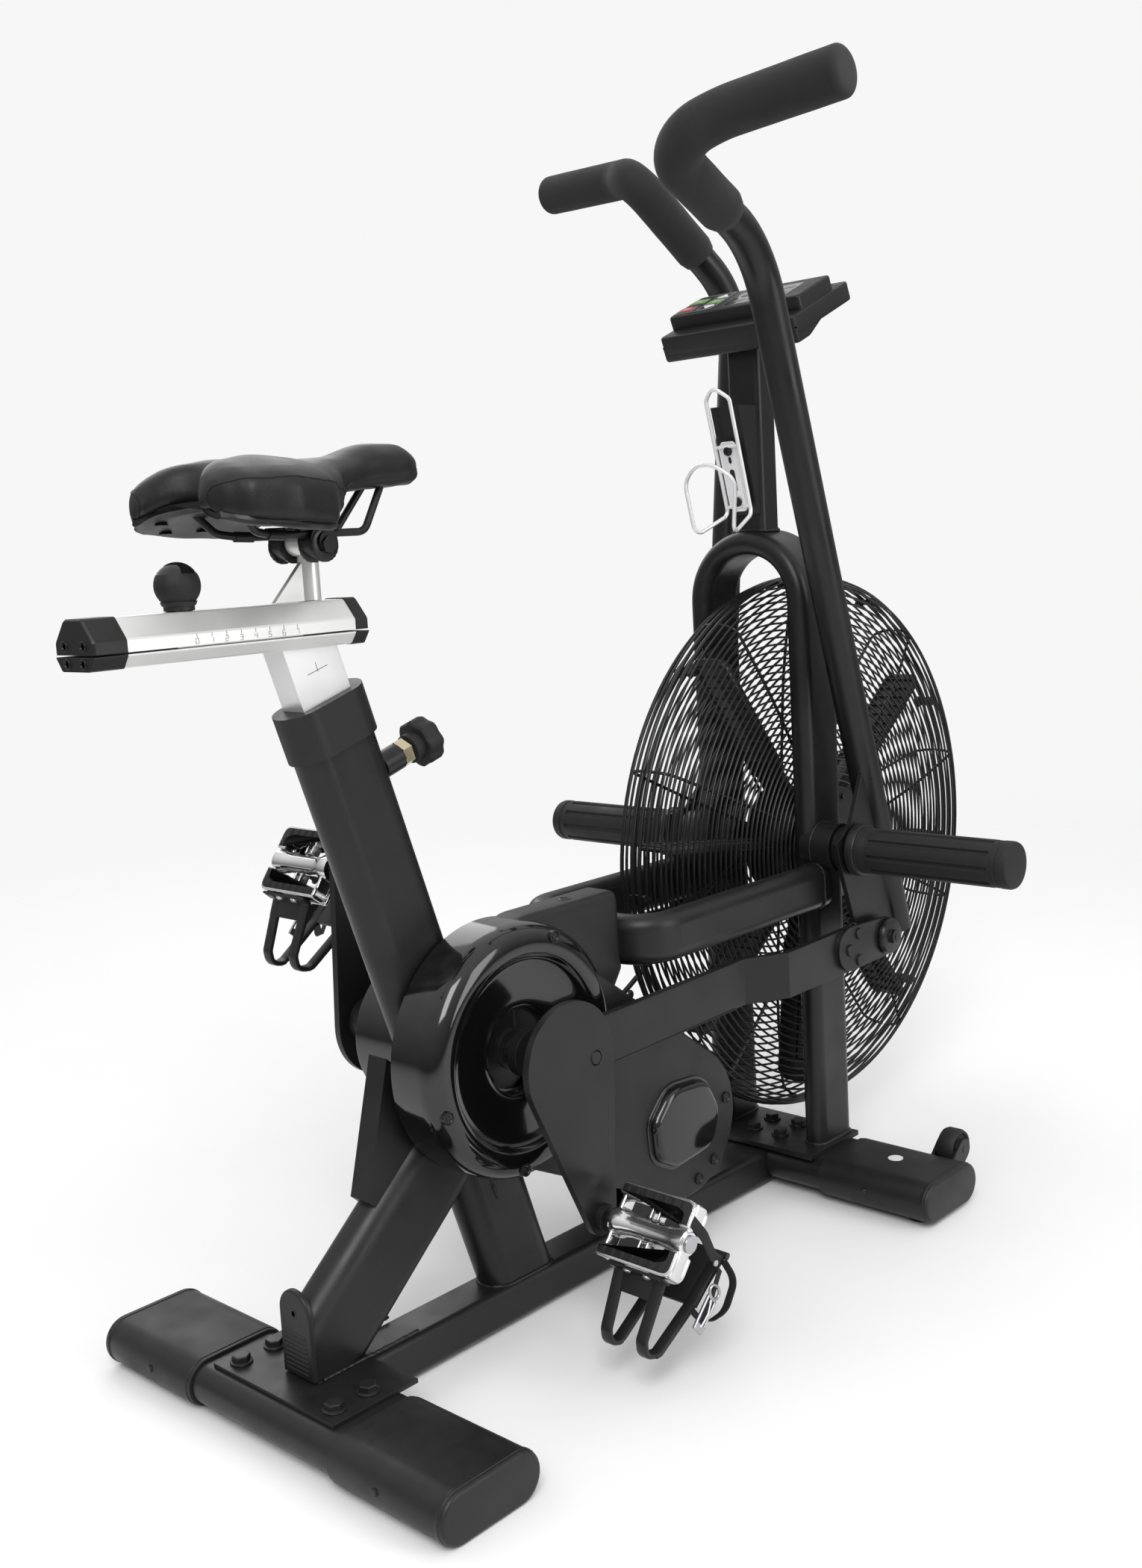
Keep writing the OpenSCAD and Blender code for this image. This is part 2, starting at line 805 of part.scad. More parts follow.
module bearing(c, r_out, r_in, y0, w) {
  difference() {
    y_bar(c, r_out, y0, y0 + w);
    y_bar(c, r_in, y0 - cut, y0 + w + cut);
  }
}

module bearings() color(STEEL) {
  for (c = [crank, jack], y = [-shell_y, shell_y - 12])
    bearing(c, bearing_r - run_gap, spindle_r + run_gap, y, 12);
  for (s = [-1, 1])
    bearing(peg, hub_r - 5, axle_r + run_gap, s > 0 ? hub_in + 2 : -hub_in - 16, 14);
}

module toothed(c, r, teeth, y, w, hole) {
  upright_plate(y - w / 2, y + w / 2) difference() {
    translate([c[0], c[2]]) {
      circle(r - 2);
      for (i = [0 : teeth - 1]) rotate(i * 360 / teeth) translate([r - 3, 0]) square([5, 3], center = true);
    }
    translate([c[0], c[2]]) circle(hole);
  }
}

module chainring() color(STEEL) difference() {
  union() {
    toothed(crank, chainring_r, 42, -chain_y, 4, spindle_r + run_gap);
    bearing(crank, 20, spindle_r + run_gap, -chain_y - 5, 13);
  }
  for (i = [0 : 4]) let (q = polar(crank_xz(), 52, i * 72))
    y_bar([q[0], 0, q[1]], 17, -70, -40);
}

function pin_xz(s) = crank_xz() + s * link_throw * [cos(-12), sin(-12)];
function pedal_xz(s) = crank_xz() + s * crank_len * [sin(crank_angle), -cos(crank_angle)];

// Inner webs carry the drive out to the link pin; s is 1 on the right side
module crank_web(s) {
  upright_plate(-s * web_y[0], -s * web_y[1]) two_circle(crank_xz(), 24, pin_xz(s), 16);
  y_bar([pin_xz(s)[0], 0, pin_xz(s)[1]], 9, -s * web_y[1], -s * (link_rear_y[0] - 8));
}

module crank_axle() color(STEEL) {
  y_bar(crank, spindle_r, -web_y[0] - 1, web_y[0] + 1);
  crank_web(1);
  crank_web(-1);
}

module crank_plate(s) {
  difference() {
    upright_plate(-s * plate_y[0], -s * plate_y[1])
      two_circle(crank_xz(), head_r, pedal_xz(s), tail_r);
    y_bar([pedal_xz(s)[0], 0, pedal_xz(s)[1]], 7 + run_gap, 0, -s * 200);
  }
  y_bar([pin_xz(s)[0], 0, pin_xz(s)[1]], 9, -s * (plate_y[0] - 3), -s * plate_y[0]);
}

module crank_plates() color(BLACK) {
  crank_plate(1);
  crank_plate(-1);
}

module pedal_spindle(s) {
  c = [pedal_xz(s)[0], 0, pedal_xz(s)[1]];
  y_bar(c, 7, -s * plate_y[0], -s * plate_y[1]);
  y_bar(c, 13, -s * plate_y[1], -s * (plate_y[1] + 7));
  y_bar(c, 5, -s * (plate_y[1] + 7), -s * (pedal_y[1] - 4));
}

module pedal_spindles() color(STEEL) {
  pedal_spindle(1);
  pedal_spindle(-1);
}

module pedal(s) {
  c = [pedal_xz(s)[0], 0, pedal_xz(s)[1]];
  y0 = -s * pedal_y[0];
  y1 = -s * pedal_y[1];
  translate([c[0], 0, c[2]]) rotate([0, pedal_tilt(s), 0]) difference() {
    union() {
      y_bar([0, 0, 0], 11, y0, y1);
      for (x = [-33, 33]) upright_plate(y0, y1) translate([x, 0]) rounded(9, 24, 3);
      for (y = [pedal_y[0] + 3, pedal_y[1] - 9])
        upright_plate(-s * y, -s * (y + 6)) rounded(70, 20, 4);
    }
    y_bar([0, 0, 0], 5.05, y0 + s * cut, -s * (pedal_y[1] - 3));
  }
}

// Both pedals hang with the toe clip below them
function pedal_tilt(s) = s > 0 ? 131 : 126;

// Four strands leave the pedal's front edge, curl round the toe and come back over the foot
clip_out = [[41, 2], [96, 15], [106, 26], [103, 40], [88, 50], [40, 66], [-12, 73]];
clip_in = [[-12, 70], [39, 63], [86, 47.4], [100, 38], [102.6, 27], [94, 17.8], [38.2, 4.2]];
// Plates that join the strands, a hair thicker than they are
clip_root = [[41.15, -10.2], [41.15, 1.85], [66, 7.75], [66, 11.15], [38.05, 4.35], [38.05, -10.2]];
clip_end = [[12, 69.92], [-12.2, 73.18], [-12.2, 69.83], [12, 66.55]];
clip_y = [15.5, 86.5];
strand_y = [15, 41, 53, 79];
strand_w = 8;

module toe_clip(s) {
  c = [pedal_xz(s)[0], 0, pedal_xz(s)[1]];
  translate([c[0], 0, c[2]]) rotate([0, pedal_tilt(s), 0]) {
    for (y = strand_y)
      upright_plate(-s * (pedal_y[0] + y), -s * (pedal_y[0] + y + strand_w))
        polygon(concat([[41, -10]], clip_out, clip_in, [[38.2, -10]]));
    clip_plate(s) polygon(clip_root);
    clip_plate(s) polygon(clip_end);
  }
}

module clip_plate(s) upright_plate(-s * (pedal_y[0] + clip_y[0]), -s * (pedal_y[0] + clip_y[1])) children();

module belt_outline(r_jack, r_fan) {
  two_circle(jack_xz(), r_jack, [fan[0], fan[2]], r_fan);
}

module drive_chain() color(STEEL) upright_plate(-chain_y - 3, -chain_y + 3) difference() {
  two_circle(crank_xz(), chainring_r + 5, jack_xz(), jack_sprocket_r + 5);
  two_circle(crank_xz(), chainring_r + 0.4, jack_xz(), jack_sprocket_r + 0.4);
}

module jackshaft() color(STEEL) {
  y_bar(jack, spindle_r, -chain_y - 6, belt_y + 6);
  toothed(jack, jack_sprocket_r, 14, -chain_y, 4, 5);
  y_bar(jack, jack_pulley_r - 1, belt_y - 3, belt_y + 3);
}

module fan_belt() color(RUBBER) upright_plate(belt_y - 2.8, belt_y + 2.8) difference() {
  belt_outline(jack_pulley_r + 2.5, fan_pulley_r + 2.5);
  belt_outline(jack_pulley_r - 0.6, fan_pulley_r - 0.6);
}

module fan_axle() color(STEEL) {
  y_bar(fan, fan_axle_r, -72, 72);
  for (s = [-1, 1]) upright_plate(s * 64.2, s * 70) translate([fan[0], fan[2]]) circle(13, $fn = 6);
}

module paddle() {
  root_r = 64;
  translate([root_r, -24, -2]) cube([fan_r - root_r, 48, 4]);
  for (i = [0 : 8]) translate([150 + i * 18, -24, -4.5]) cube([4, 48, 9]);
}

module fan_wheel() color(RUBBER) {
  difference() {
    union() {
      y_bar(fan, 68, -20, 20);
      translate([fan[0], 0, fan[2]]) for (i = [0 : paddles - 1])
        rotate([0, i * 360 / paddles + 8, 0]) paddle();
      y_bar(fan, 12, -48, 57);
      y_bar(fan, fan_pulley_r - 1, belt_y - 3, belt_y + 3);
    }
    y_bar(fan, fan_axle_r + run_gap, -60, 60);
  }
}

// ---------- Fan guard

// Ring radius and Y along the domed guard, f from 0 at the rim to 1 at the centre
function dome_r(f) = guard_r - guard_wire_r - f * (guard_r - 66);
function dome_y(f) = rim_y + (face_y - rim_y) * sin(min(1, f * 1.7) * 90);

module guard_half(s) {
  w = 2 * guard_wire_r;
  for (i = [0 : guard_rings - 1]) {
    f = i / (guard_rings - 1);
    translate([fan[0], s * dome_y(f), fan[2]]) rotate([90, 0, 0])
      rotate_extrude() translate([dome_r(f), 0]) square(i == 0 ? 1.6 * w : w, center = true);
  }
  for (k = [0 : 5]) translate([fan[0], 0, fan[2]]) rotate([0, 60 * k + 8, 0]) guard_spoke(s);
  difference() {
    y_bar(fan, 72, s * face_y - 1.2, s * face_y + 1.2);
    y_bar(fan, 15, s * face_y - 3, s * face_y + 3);
  }
}

// Flat wire that follows the dome under the rings, from the rim to the centre plate
module guard_spoke(s) {
  steps = [0, 0.12, 0.3, 0.6, 1];
  outer = [for (f = steps) [dome_r(f), s * dome_y(f)]];
  inner = [for (i = [4 : -1 : 0]) [dome_r(steps[i]), s * (dome_y(steps[i]) - 3)]];
  translate([0, 0, -1.2]) linear_extrude(2.4) polygon(concat(outer, inner));
}

module guard_right() color(BLACK) guard_half(-1);

module guard_left() color(BLACK) guard_half(1);

module guard_clips() color(STEEL)
  for (a = [10, 82, 130, 178, 226, 298]) translate([fan[0], 0, fan[2]]) rotate([0, a, 0])
    translate([guard_r - 8.2, -rim_y + 4, -7]) cube([3, 2 * rim_y - 8, 14]);

// ---------- Foot pegs and handle arms

module peg_axles() color(STEEL) both_sides() y_bar(peg, axle_r, -upright_y + 12, -peg_end_y + 12);

module foot_peg() {
  difference() {
    union() {
      y_bar(peg, peg_r + 3, -plate_out - 4, -plate_out - 20);
      difference() {
        y_bar(peg, peg_r, -plate_out - 20, -peg_end_y);
        for (a = [0 : 30 : 330])
          let (q = polar([peg[0], peg[2]], peg_r + 1, a))
            y_bar([q[0], 0, q[1]], 3, -plate_out - 34, -peg_end_y + 30);
      }
    }
    y_bar(peg, axle_r + run_gap, -100, -peg_end_y + 11.9);
  }
}

module foot_pegs() color(RUBBER) both_sides() foot_peg();

// Handle path in the arm's own frame: peg axis at the origin, arm in its middle position
arm_low = [73.7, -arm_y, -134];
arm_knee = [5, -arm_y, 690];
arm_elbow = [-172, -158, 795];
arm_wrist = [-139, -203, 813];
arm_tip = [-130, -335, 821];
knee_bend = 110;
elbow_bend = 30;
wrist_bend = 60;

function arm_path() = [arm_low, arm_knee, arm_elbow, arm_wrist, arm_tip];
function foam_start() = arm_knee + (arm_elbow - arm_knee) * 0.36;

// Places the right arm's shape at a swing angle; s is 1 on the right side
module arm_place(s) {
  mirror([0, s > 0 ? 0 : 1, 0]) translate(peg) rotate([0, s > 0 ? -arm_swing : arm_swing, 0]) children();
}

module arm_plate_shape() {
  two_circle([0, 0], hub_r + 6, link_pivot, 20);
  polygon([[0, 30], [46, 92], [62, -4], [70, -110], link_pivot, [-22, -86], [-36, 20]]);
}

module arm_shape() {
  difference() {
    union() {
      bent_tube(arm_path(), [knee_bend, elbow_bend, wrist_bend], arm_r, arm_r - 2);
      difference() {
        upright_plate(-plate_in, -plate_out) arm_plate_shape();
        run_between(arm_low - [0, 0, 1], arm_low + (arm_knee - arm_low) * 0.5) circle(arm_r - 1);
      }
      y_bar([0, 0, 0], hub_r, -hub_in, -plate_out);
    }
    y_bar([0, 0, 0], hub_r - 5 + run_gap, -100, -140);
    y_bar([link_pivot[0], 0, link_pivot[1]], 6 + run_gap, -100, -140);
  }
}

module arm_right() color(BLACK) arm_place(1) arm_shape();

module arm_left() color(BLACK) arm_place(-1) arm_shape();

module grip_shape() {
  bent_tube([foam_start(), arm_elbow, arm_wrist, arm_tip], [elbow_bend, wrist_bend],
    foam_r, arm_r + 2 * fit_gap);
  run_between(arm_tip + unit(arm_tip - arm_wrist) * fit_gap, arm_tip + unit(arm_tip - arm_wrist) * 6)
    circle(foam_r - 1);
  run_between(arm_tip - unit(arm_tip - arm_wrist) * 2, arm_tip + unit(arm_tip - arm_wrist))
    ring(foam_r - 1, arm_r + 1);
}

module grip_right() color(RUBBER) arm_place(1) grip_shape();

module grip_left() color(RUBBER) arm_place(-1) grip_shape();

// ---------- Links, in the plane outside the uprights

function link_end(s) = [peg[0], peg[2]] + swung(link_pivot, s > 0 ? -arm_swing : arm_swing);

module link(s) {
  rear = pin_xz(s);
  front = link_end(s);
  joggle = [rear[0] + 290, rear[0] + 335];
  z_rear = rear[1];
  z_front = front[1];
  difference() {
    union() {
      y_bar([rear[0], 0, rear[1]], 25, -s * (link_rear_y[0] - 7), -s * (plate_y[0] - 4));
      link_strip(s, rear[0], joggle[0], link_rear_y, link_rear_y, rear, front);
      link_strip(s, joggle[0], joggle[1], link_rear_y, link_front_y + [8, 8], rear, front);
      link_strip(s, joggle[1], front[0] - 66, link_front_y + [8, 8], link_front_y + [8, 8], rear, front);
      upright_plate(-s * 140, -s * 145) two_circle([front[0] - 78, front[1] + 1], 26, front, 23);
      y_bar([front[0], 0, front[1]], 10, -s * 145, -s * 151);
      y_bar([front[0], 0, front[1]], 6, -s * 120, -s * 145);
      for (p = [[-62, 16], [-82, 0], [-62, -16]])
        y_bar([front[0] + p[0], 0, front[1] + p[1]], 5, -s * 145, -s * 147.5);
    }
    y_bar([rear[0], 0, rear[1]], 12, -s * 90, -s * 133);
  }
}

// A length of flat bar, 52 high, that may step outward between its ends
module link_strip(s, x0, x1, ya, yb, rear, front) {
  slope = (front[1] - rear[1]) / (front[0] - rear[0]);
  z0 = rear[1] + slope * (x0 - rear[0]);
  z1 = rear[1] + slope * (x1 - rear[0]);
  intersection() {
    linear_extrude(600) polygon([
      [x0, -s * ya[0]], [x1, -s * yb[0]], [x1, -s * yb[1]], [x0, -s * ya[1]]
    ]);
    upright_plate(-200, 200)
      polygon([[x0, z0 - 26], [x1, z1 - 26], [x1, z1 + 26], [x0, z0 + 26]]);
  }
}

module link_right() color(BLACK) link(1);

module link_left() color(BLACK) link(-1);

// ---------- Bottle cage

bracket_low = 822;
bracket_high = 948;
bracket_back = mast_x - mast_d / 2 - fit_gap;
bracket_depth = 36;
bracket_foot = 3;

function bracket_side() = [
  [bracket_back, bracket_high], [bracket_back - bracket_depth, bracket_high],
  [bracket_back - bracket_foot, bracket_low], [bracket_back, bracket_low]
];

module bottle_bracket() color(BLACK) {
  upright_plate(-20, 20) difference() {
    polygon(bracket_side());
    polygon([
      [bracket_back + cut, bracket_high - 4], [bracket_back - bracket_depth + 5, bracket_high - 4],
      [bracket_back - 3, bracket_low + 20], [bracket_back + cut, bracket_low + 20]
    ]);
  }
  for (y = [-20, 17]) upright_plate(y, y + 3) polygon(bracket_side());
}

cage_lean = atan((bracket_depth - bracket_foot) / (bracket_high - bracket_low));
cage_wire_r = 2.5;

module cage_wire(p) {
  for (i = [0 : len(p) - 2]) run_between(p[i], p[i + 1]) circle(cage_wire_r);
  for (q = p) translate(q) sphere(cage_wire_r + 0.2);
}

// Half of the basket wire, from the top of the hairpin to the top of the hoop
function cage_half(s) = [
  [-16, s * 8, 16], [-9, s * 17, 2], [-9, s * 17, -127], [-64, s * 28, -136],
  [-53, s * 37, -75], [-60, s * 24, -51], [-62, 0, -45]
];

// Wire basket on a spine plate that holds a bottle
module bottle_cage() color(SILVER)
  translate([bracket_back - bracket_depth - 0.6, 0, bracket_high]) rotate([0, -cage_lean, 0]) {
    translate([-6, -9, -123]) cube([3, 18, 82]);
    for (s = [-1, 1]) cage_wire(cage_half(s));
    run_between([-16, -8, 16], [-16, 8, 16]) circle(cage_wire_r);
    for (z = [-55, -112]) translate([-9, -18, z]) cube([4, 36, 3]);
  }

// ---------- Console

console_half = 97;
console_tilt = 22.7;
console_low = [214, 0, 1011];

// Children are drawn on the console's sloping base: X along it, Z off it
module on_console() {
  translate(console_low) rotate([0, -console_tilt, 0]) children();
}

module console_housing() color(BLACK) difference() {
  on_console() {
    translate([2, -console_half, 5]) cube([126, 2 * console_half, 22]);
    translate([26, -console_half + 3, 24]) cube([74, 2 * console_half - 6, 20]);
  }
  on_console() {
    translate([6, -console_half + 4, 8]) cube([118, 2 * console_half - 8, 16]);
    translate([36, -70, 38]) cube([48, 90, 10]);
    for (k = key_places()) translate([k[0], k[1], 30]) linear_extrude(20) square([15.6, 21.6], center = true);
  }
  translate([mast_x - mast_d / 2 - 0.4, -mast_w / 2 - 0.4, mast_top - 40])
    cube([mast_d + 0.8, mast_w + 0.8, 40.4]);
}

function key_places() = [[82, 46], [44, 46], [62, 46], [74, 78], [46, 78]];

module console_display() color("#5d6a60") on_console()
  translate([36.2, -69.8, 38.2]) cube([47.6, 89.6, 5]);

module key(i) {
  k = key_places()[i];
  on_console() translate([k[0], k[1], 36]) linear_extrude(9.4) rounded(15, 21, 3);
}

module key_up() color("#e8e8e8") key(0);

module key_down() color("#e8e8e8") key(1);

module key_green_left() color("#5f9a4a") key(3);

module key_green_right() color("#5f9a4a") key(2);

module key_red() color("#b03030") key(4);

// ---------- Parts

main_frame();
front_frame();
rear_stabiliser();
front_stabiliser();
stabiliser_sleeves();
stabiliser_bolts();
levelling_foot(-1);  // foot_right
levelling_foot(1);  // foot_left
transport_wheel(-1);  // wheel_right
transport_wheel(1);  // wheel_left
strut_end_cap();
seat_collar();
pop_pin_nut();
pop_pin();
seat_post();
slider_rail();
slider_carriage();
slider_caps();
clamp_knob();
saddle_mount();
saddle_clamp();
saddle_frame();
saddle();
cover_right();
cover_left();
cover_screws();
bearings();
chainring();
crank_axle();
crank_plates();
pedal_spindles();
color(SILVER) pedal(1);  // pedal_right
color(SILVER) pedal(-1);  // pedal_left
color(RUBBER) toe_clip(1);  // toe_clip_right
color(RUBBER) toe_clip(-1);  // toe_clip_left
drive_chain();
jackshaft();
fan_belt();
fan_axle();
fan_wheel();
guard_right();
guard_left();
guard_clips();
peg_axles();
foot_pegs();
arm_right();
arm_left();
grip_right();
grip_left();
link_right();
link_left();
bottle_bracket();
bottle_cage();
console_housing();
console_display();
key_up();
key_down();
key_green_left();
key_green_right();
key_red();
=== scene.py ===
"""Looks of the air bike: paint, plastics, foam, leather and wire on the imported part."""

import random
from math import acos, atan2, copysign, cos, exp, pi, radians, sin, tan

import bmesh
import bpy
from mathutils import Matrix, Vector, noise
from mathutils.bvhtree import BVHTree


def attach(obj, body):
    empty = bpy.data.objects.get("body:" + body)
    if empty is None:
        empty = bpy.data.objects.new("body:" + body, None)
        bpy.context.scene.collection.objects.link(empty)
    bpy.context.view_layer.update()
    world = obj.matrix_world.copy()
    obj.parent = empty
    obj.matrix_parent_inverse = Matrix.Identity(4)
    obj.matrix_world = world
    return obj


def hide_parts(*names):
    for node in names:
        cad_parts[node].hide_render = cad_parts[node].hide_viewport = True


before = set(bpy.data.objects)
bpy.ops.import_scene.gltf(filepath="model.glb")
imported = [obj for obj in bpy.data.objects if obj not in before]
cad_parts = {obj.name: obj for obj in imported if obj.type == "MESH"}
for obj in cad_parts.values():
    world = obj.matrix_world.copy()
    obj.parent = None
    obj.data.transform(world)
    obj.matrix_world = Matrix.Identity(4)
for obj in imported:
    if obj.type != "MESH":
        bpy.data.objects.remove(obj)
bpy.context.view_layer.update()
random.seed(11)

MM = 0.001
TAU = 2 * pi
at = Matrix.Translation

# ---------------- materials


def tools(tree):
    """Ways to add a node, with settings and inputs, and to join two sockets of one node tree."""
    def new(kind, values=None, **settings):
        node = tree.nodes.new("ShaderNode" + kind)
        for key, value in settings.items():
            setattr(node, key, value)
        for key, value in (values or {}).items():
            node.inputs[key].default_value = value
        return node

    return new, tree.links.new


def material(name, colour, rough, metal=0.0, grain=900.0, bump=0.12, vary=0.10, smudge=0.10,
             coat=0.0, edge=0.0008, stretch=(1, 1, 1), cells=0.0, dust=0.02, sheen=0.0, pores=0.0,
             spec=0.34):
    """A surface with fine grain, cloudy colour, smudged roughness, soft edges and a little dust."""
    mat = bpy.data.materials.new(name)
    mat.use_nodes = True
    mat.node_tree.nodes.clear()
    new, link = tools(mat.node_tree)
    out = new("OutputMaterial")
    bsdf = new("BsdfPrincipled", {"Metallic": metal, "Specular IOR Level": spec, "Sheen Weight": sheen,
                                  "Coat Weight": coat, "Coat Roughness": 0.06 if coat else 0.03})
    link(bsdf.outputs[0], out.inputs[0])
    coord = new("TexCoord")
    mapping = new("Mapping", {"Scale": stretch})
    link(coord.outputs["Object"], mapping.inputs[0])

    def noise_node(scale, detail, source=mapping):
        t = new("TexNoise", {"Scale": scale, "Detail": detail})
        link(source.outputs[0 if source is mapping else "Object"], t.inputs["Vector"])
        return t.outputs["Fac"]

    def ranged(source, low, high):
        r = new("MapRange", {"From Min": 0.3, "From Max": 0.7, "To Min": low, "To Max": high})
        link(source, r.inputs["Value"])
        return r.outputs[0]

    def mixed(a, b, fac):
        m = new("Mix", data_type="RGBA")
        for socket, value in ((m.inputs[6], a), (m.inputs[7], b), (m.inputs[0], fac)):
            if isinstance(value, tuple):
                socket.default_value = value
            else:
                link(value, socket)
        return m.outputs[2]

    cloud = noise_node(7.0, 4.0, coord)
    fine = noise_node(grain, 3.0)
    base = tuple(colour) + (1.0,)
    darker = tuple(c * (1 - vary) for c in colour) + (1.0,)
    dusty = tuple(min(1.0, c + 0.22) for c in colour) + (1.0,)
    tone = mixed(darker, base, ranged(cloud, 0.0, 1.0))
    # Dust lies on what faces upward
    up = new("NewGeometry")
    split = new("SeparateXYZ")
    link(up.outputs["Normal"], split.inputs[0])
    lift = new("Math", operation="MULTIPLY", use_clamp=True)
    link(split.outputs[2], lift.inputs[0])
    link(ranged(noise_node(60.0, 6.0, coord), 0.0, dust), lift.inputs[1])
    link(mixed(tone, dusty, lift.outputs[0]), bsdf.inputs["Base Color"])
    link(ranged(noise_node(18.0, 5.0, coord), max(0.03, rough - smudge), min(1.0, rough + smudge)),
         bsdf.inputs["Roughness"])
    soft = new("Bevel", {"Radius": edge}, samples=4)
    relief = new("Bump", {"Strength": bump, "Distance": 0.0004})
    height = fine
    if cells or pores:
        cell = new("TexVoronoi", {"Scale": cells or pores}, feature="DISTANCE_TO_EDGE" if cells else "F1")
        link(mapping.outputs[0], cell.inputs["Vector"])
        both = new("Math", operation="ADD")
        link(cell.outputs["Distance"], both.inputs[0])
        link(fine, both.inputs[1])
        height = both.outputs[0]
    link(height, relief.inputs["Height"])
    link(soft.outputs[0], relief.inputs["Normal"])
    link(relief.outputs[0], bsdf.inputs["Normal"])
    return mat


PAINT = material("powder_black", (0.0085, 0.0085, 0.0092), 0.36, grain=1100, bump=0.22, edge=0.0012)
GLOSS = material("gloss_black", (0.004, 0.004, 0.0045), 0.09, coat=0.5, grain=300, bump=0.012,
                 smudge=0.05, edge=0.0016, dust=0.05)
MATTE = material("moulded_black", (0.010, 0.010, 0.011), 0.44, grain=1600, bump=0.25)
RUBBER = material("black_rubber", (0.012, 0.012, 0.012), 0.62, bump=0.3, edge=0.001)
BLADE = material("fan_plastic", (0.012, 0.012, 0.013), 0.38, bump=0.15, dust=0.06)
FOAM = material("grip_foam", (0.015, 0.0145, 0.0145), 0.80, grain=3200, bump=0.40, pores=4200,
                sheen=0.10, edge=0.001, dust=0.03)
SKIN = material("saddle_skin", (0.010, 0.0098, 0.010), 0.40, grain=700, bump=0.30, cells=1100,
                smudge=0.05, edge=0.001, spec=0.30)
SILVER = material("satin_aluminium", (0.80, 0.80, 0.79), 0.38, metal=0.62, grain=240,
                  stretch=(1, 14, 14), bump=0.10, vary=0.05, smudge=0.07, dust=0.0)
POST = material("drawn_aluminium", (0.80, 0.80, 0.80), 0.34, metal=0.66, grain=220,
                stretch=(10, 10, 1), bump=0.10, vary=0.05, smudge=0.08, dust=0.0)
BRIGHT = material("cast_bright", (0.74, 0.74, 0.74), 0.16, metal=1.0, grain=260, bump=0.10,
                  smudge=0.08, dust=0.0)
STEEL = material("zinc_steel", (0.48, 0.48, 0.50), 0.30, metal=1.0, grain=500, bump=0.10,
                 vary=0.15, dust=0.0)
BLACK_STEEL = material("black_oxide", (0.03, 0.03, 0.032), 0.34, metal=0.6, bump=0.18)
ALLOY = material("cage_alloy", (0.86, 0.86, 0.87), 0.36, metal=0.45, grain=260, bump=0.06, vary=0.03,
                 smudge=0.05, dust=0.0)
BRASS = material("plated_nut", (0.66, 0.58, 0.40), 0.22, metal=1.0, grain=500, bump=0.08, dust=0.0)
WIRE = material("guard_wire", (0.010, 0.010, 0.011), 0.34, grain=700, bump=0.10, edge=0.0003)
STRAP = material("woven_strap", (0.012, 0.012, 0.012), 0.72, stretch=(3, 1, 3), bump=0.7, cells=1400)
WHITE = material("white_print", (0.75, 0.75, 0.74), 0.45, bump=0.08, dust=0.0)
GREY = material("grey_print", (0.20, 0.20, 0.205), 0.45, bump=0.08, dust=0.0)
GREEN = material("green_key", (0.16, 0.34, 0.09), 0.38, bump=0.15, dust=0.0)
RED = material("red_key", (0.46, 0.05, 0.06), 0.38, bump=0.15, dust=0.0)
GLASS = material("display_window", (0.035, 0.042, 0.038), 0.07, coat=0.7, grain=200, bump=0.01)
FLOOR = material("floor", (0.86, 0.86, 0.86), 0.62, grain=60, bump=0.02, vary=0.01, smudge=0.04,
                 dust=0.0)

# ---------------- mesh code, in millimetres


def put(name, data):
    """A new object in the scene."""
    obj = bpy.data.objects.new(name, data)
    bpy.context.scene.collection.objects.link(obj)
    return obj


class Shape:
    """Collects rings, plates and sweeps into one mesh."""

    def __init__(self):
        self.v, self.f, self.m, self.smooth = [], [], [], []

    def add(self, part, mat=0, smooth=True, place=None):
        verts, faces = part
        base = len(self.v)
        self.v += [place @ Vector(p) if place else Vector(p) for p in verts]
        for f in faces:
            self.f.append([i + base for i in f])
            self.m.append(mat)
            self.smooth.append(smooth)
        return self

    def spin(self, profile, steps, p, d, mat=0, ripple=None):
        """Adds a turned part that stands at p along d."""
        return self.add(lathe(profile, steps, ripple), mat, place=aimed(p, d))

    def mirrored(self):
        """Adds the same faces again on the other side of the bike's middle plane."""
        base, count = len(self.v), len(self.f)
        self.v += [Vector((p.x, -p.y, p.z)) for p in self.v]
        self.f += [[i + base for i in reversed(f)] for f in self.f[:count]]
        self.m += self.m[:count]
        self.smooth += self.smooth[:count]
        return self

    def mesh(self, name, mats, sharp=38):
        mesh = bpy.data.meshes.new(name)
        mesh.from_pydata([p * MM for p in self.v], [], self.f)
        for m in mats:
            mesh.materials.append(m)
        mesh.polygons.foreach_set("material_index", self.m)
        mesh.polygons.foreach_set("use_smooth", self.smooth)
        mesh.validate()
        bm = bmesh.new()
        bm.from_mesh(mesh)
        bmesh.ops.recalc_face_normals(bm, faces=bm.faces)
        for e in bm.edges:
            if len(e.link_faces) == 2 and e.calc_face_angle(0) > radians(sharp):
                e.smooth = False
        bm.to_mesh(mesh)
        bm.free()
        return mesh

    def build(self, name, body, mats, replaces=(), sharp=38):
        obj = put(name, self.mesh(name, mats, sharp))
        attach(obj, body)
        if replaces:
            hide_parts(*replaces)


def loft(rings, closed=False, caps=True):
    """Skin over rings that all have the same number of points."""
    k, count = len(rings[0]), len(rings)
    verts = [p for r in rings for p in r]
    faces = []
    for i in range(count if closed else count - 1):
        a, b = i * k, (i + 1) % count * k
        faces += [[a + j, a + (j + 1) % k, b + (j + 1) % k, b + j] for j in range(k)]
    if caps and not closed:
        faces += [list(range(k))[::-1], list(range((count - 1) * k, count * k))]
    return verts, faces


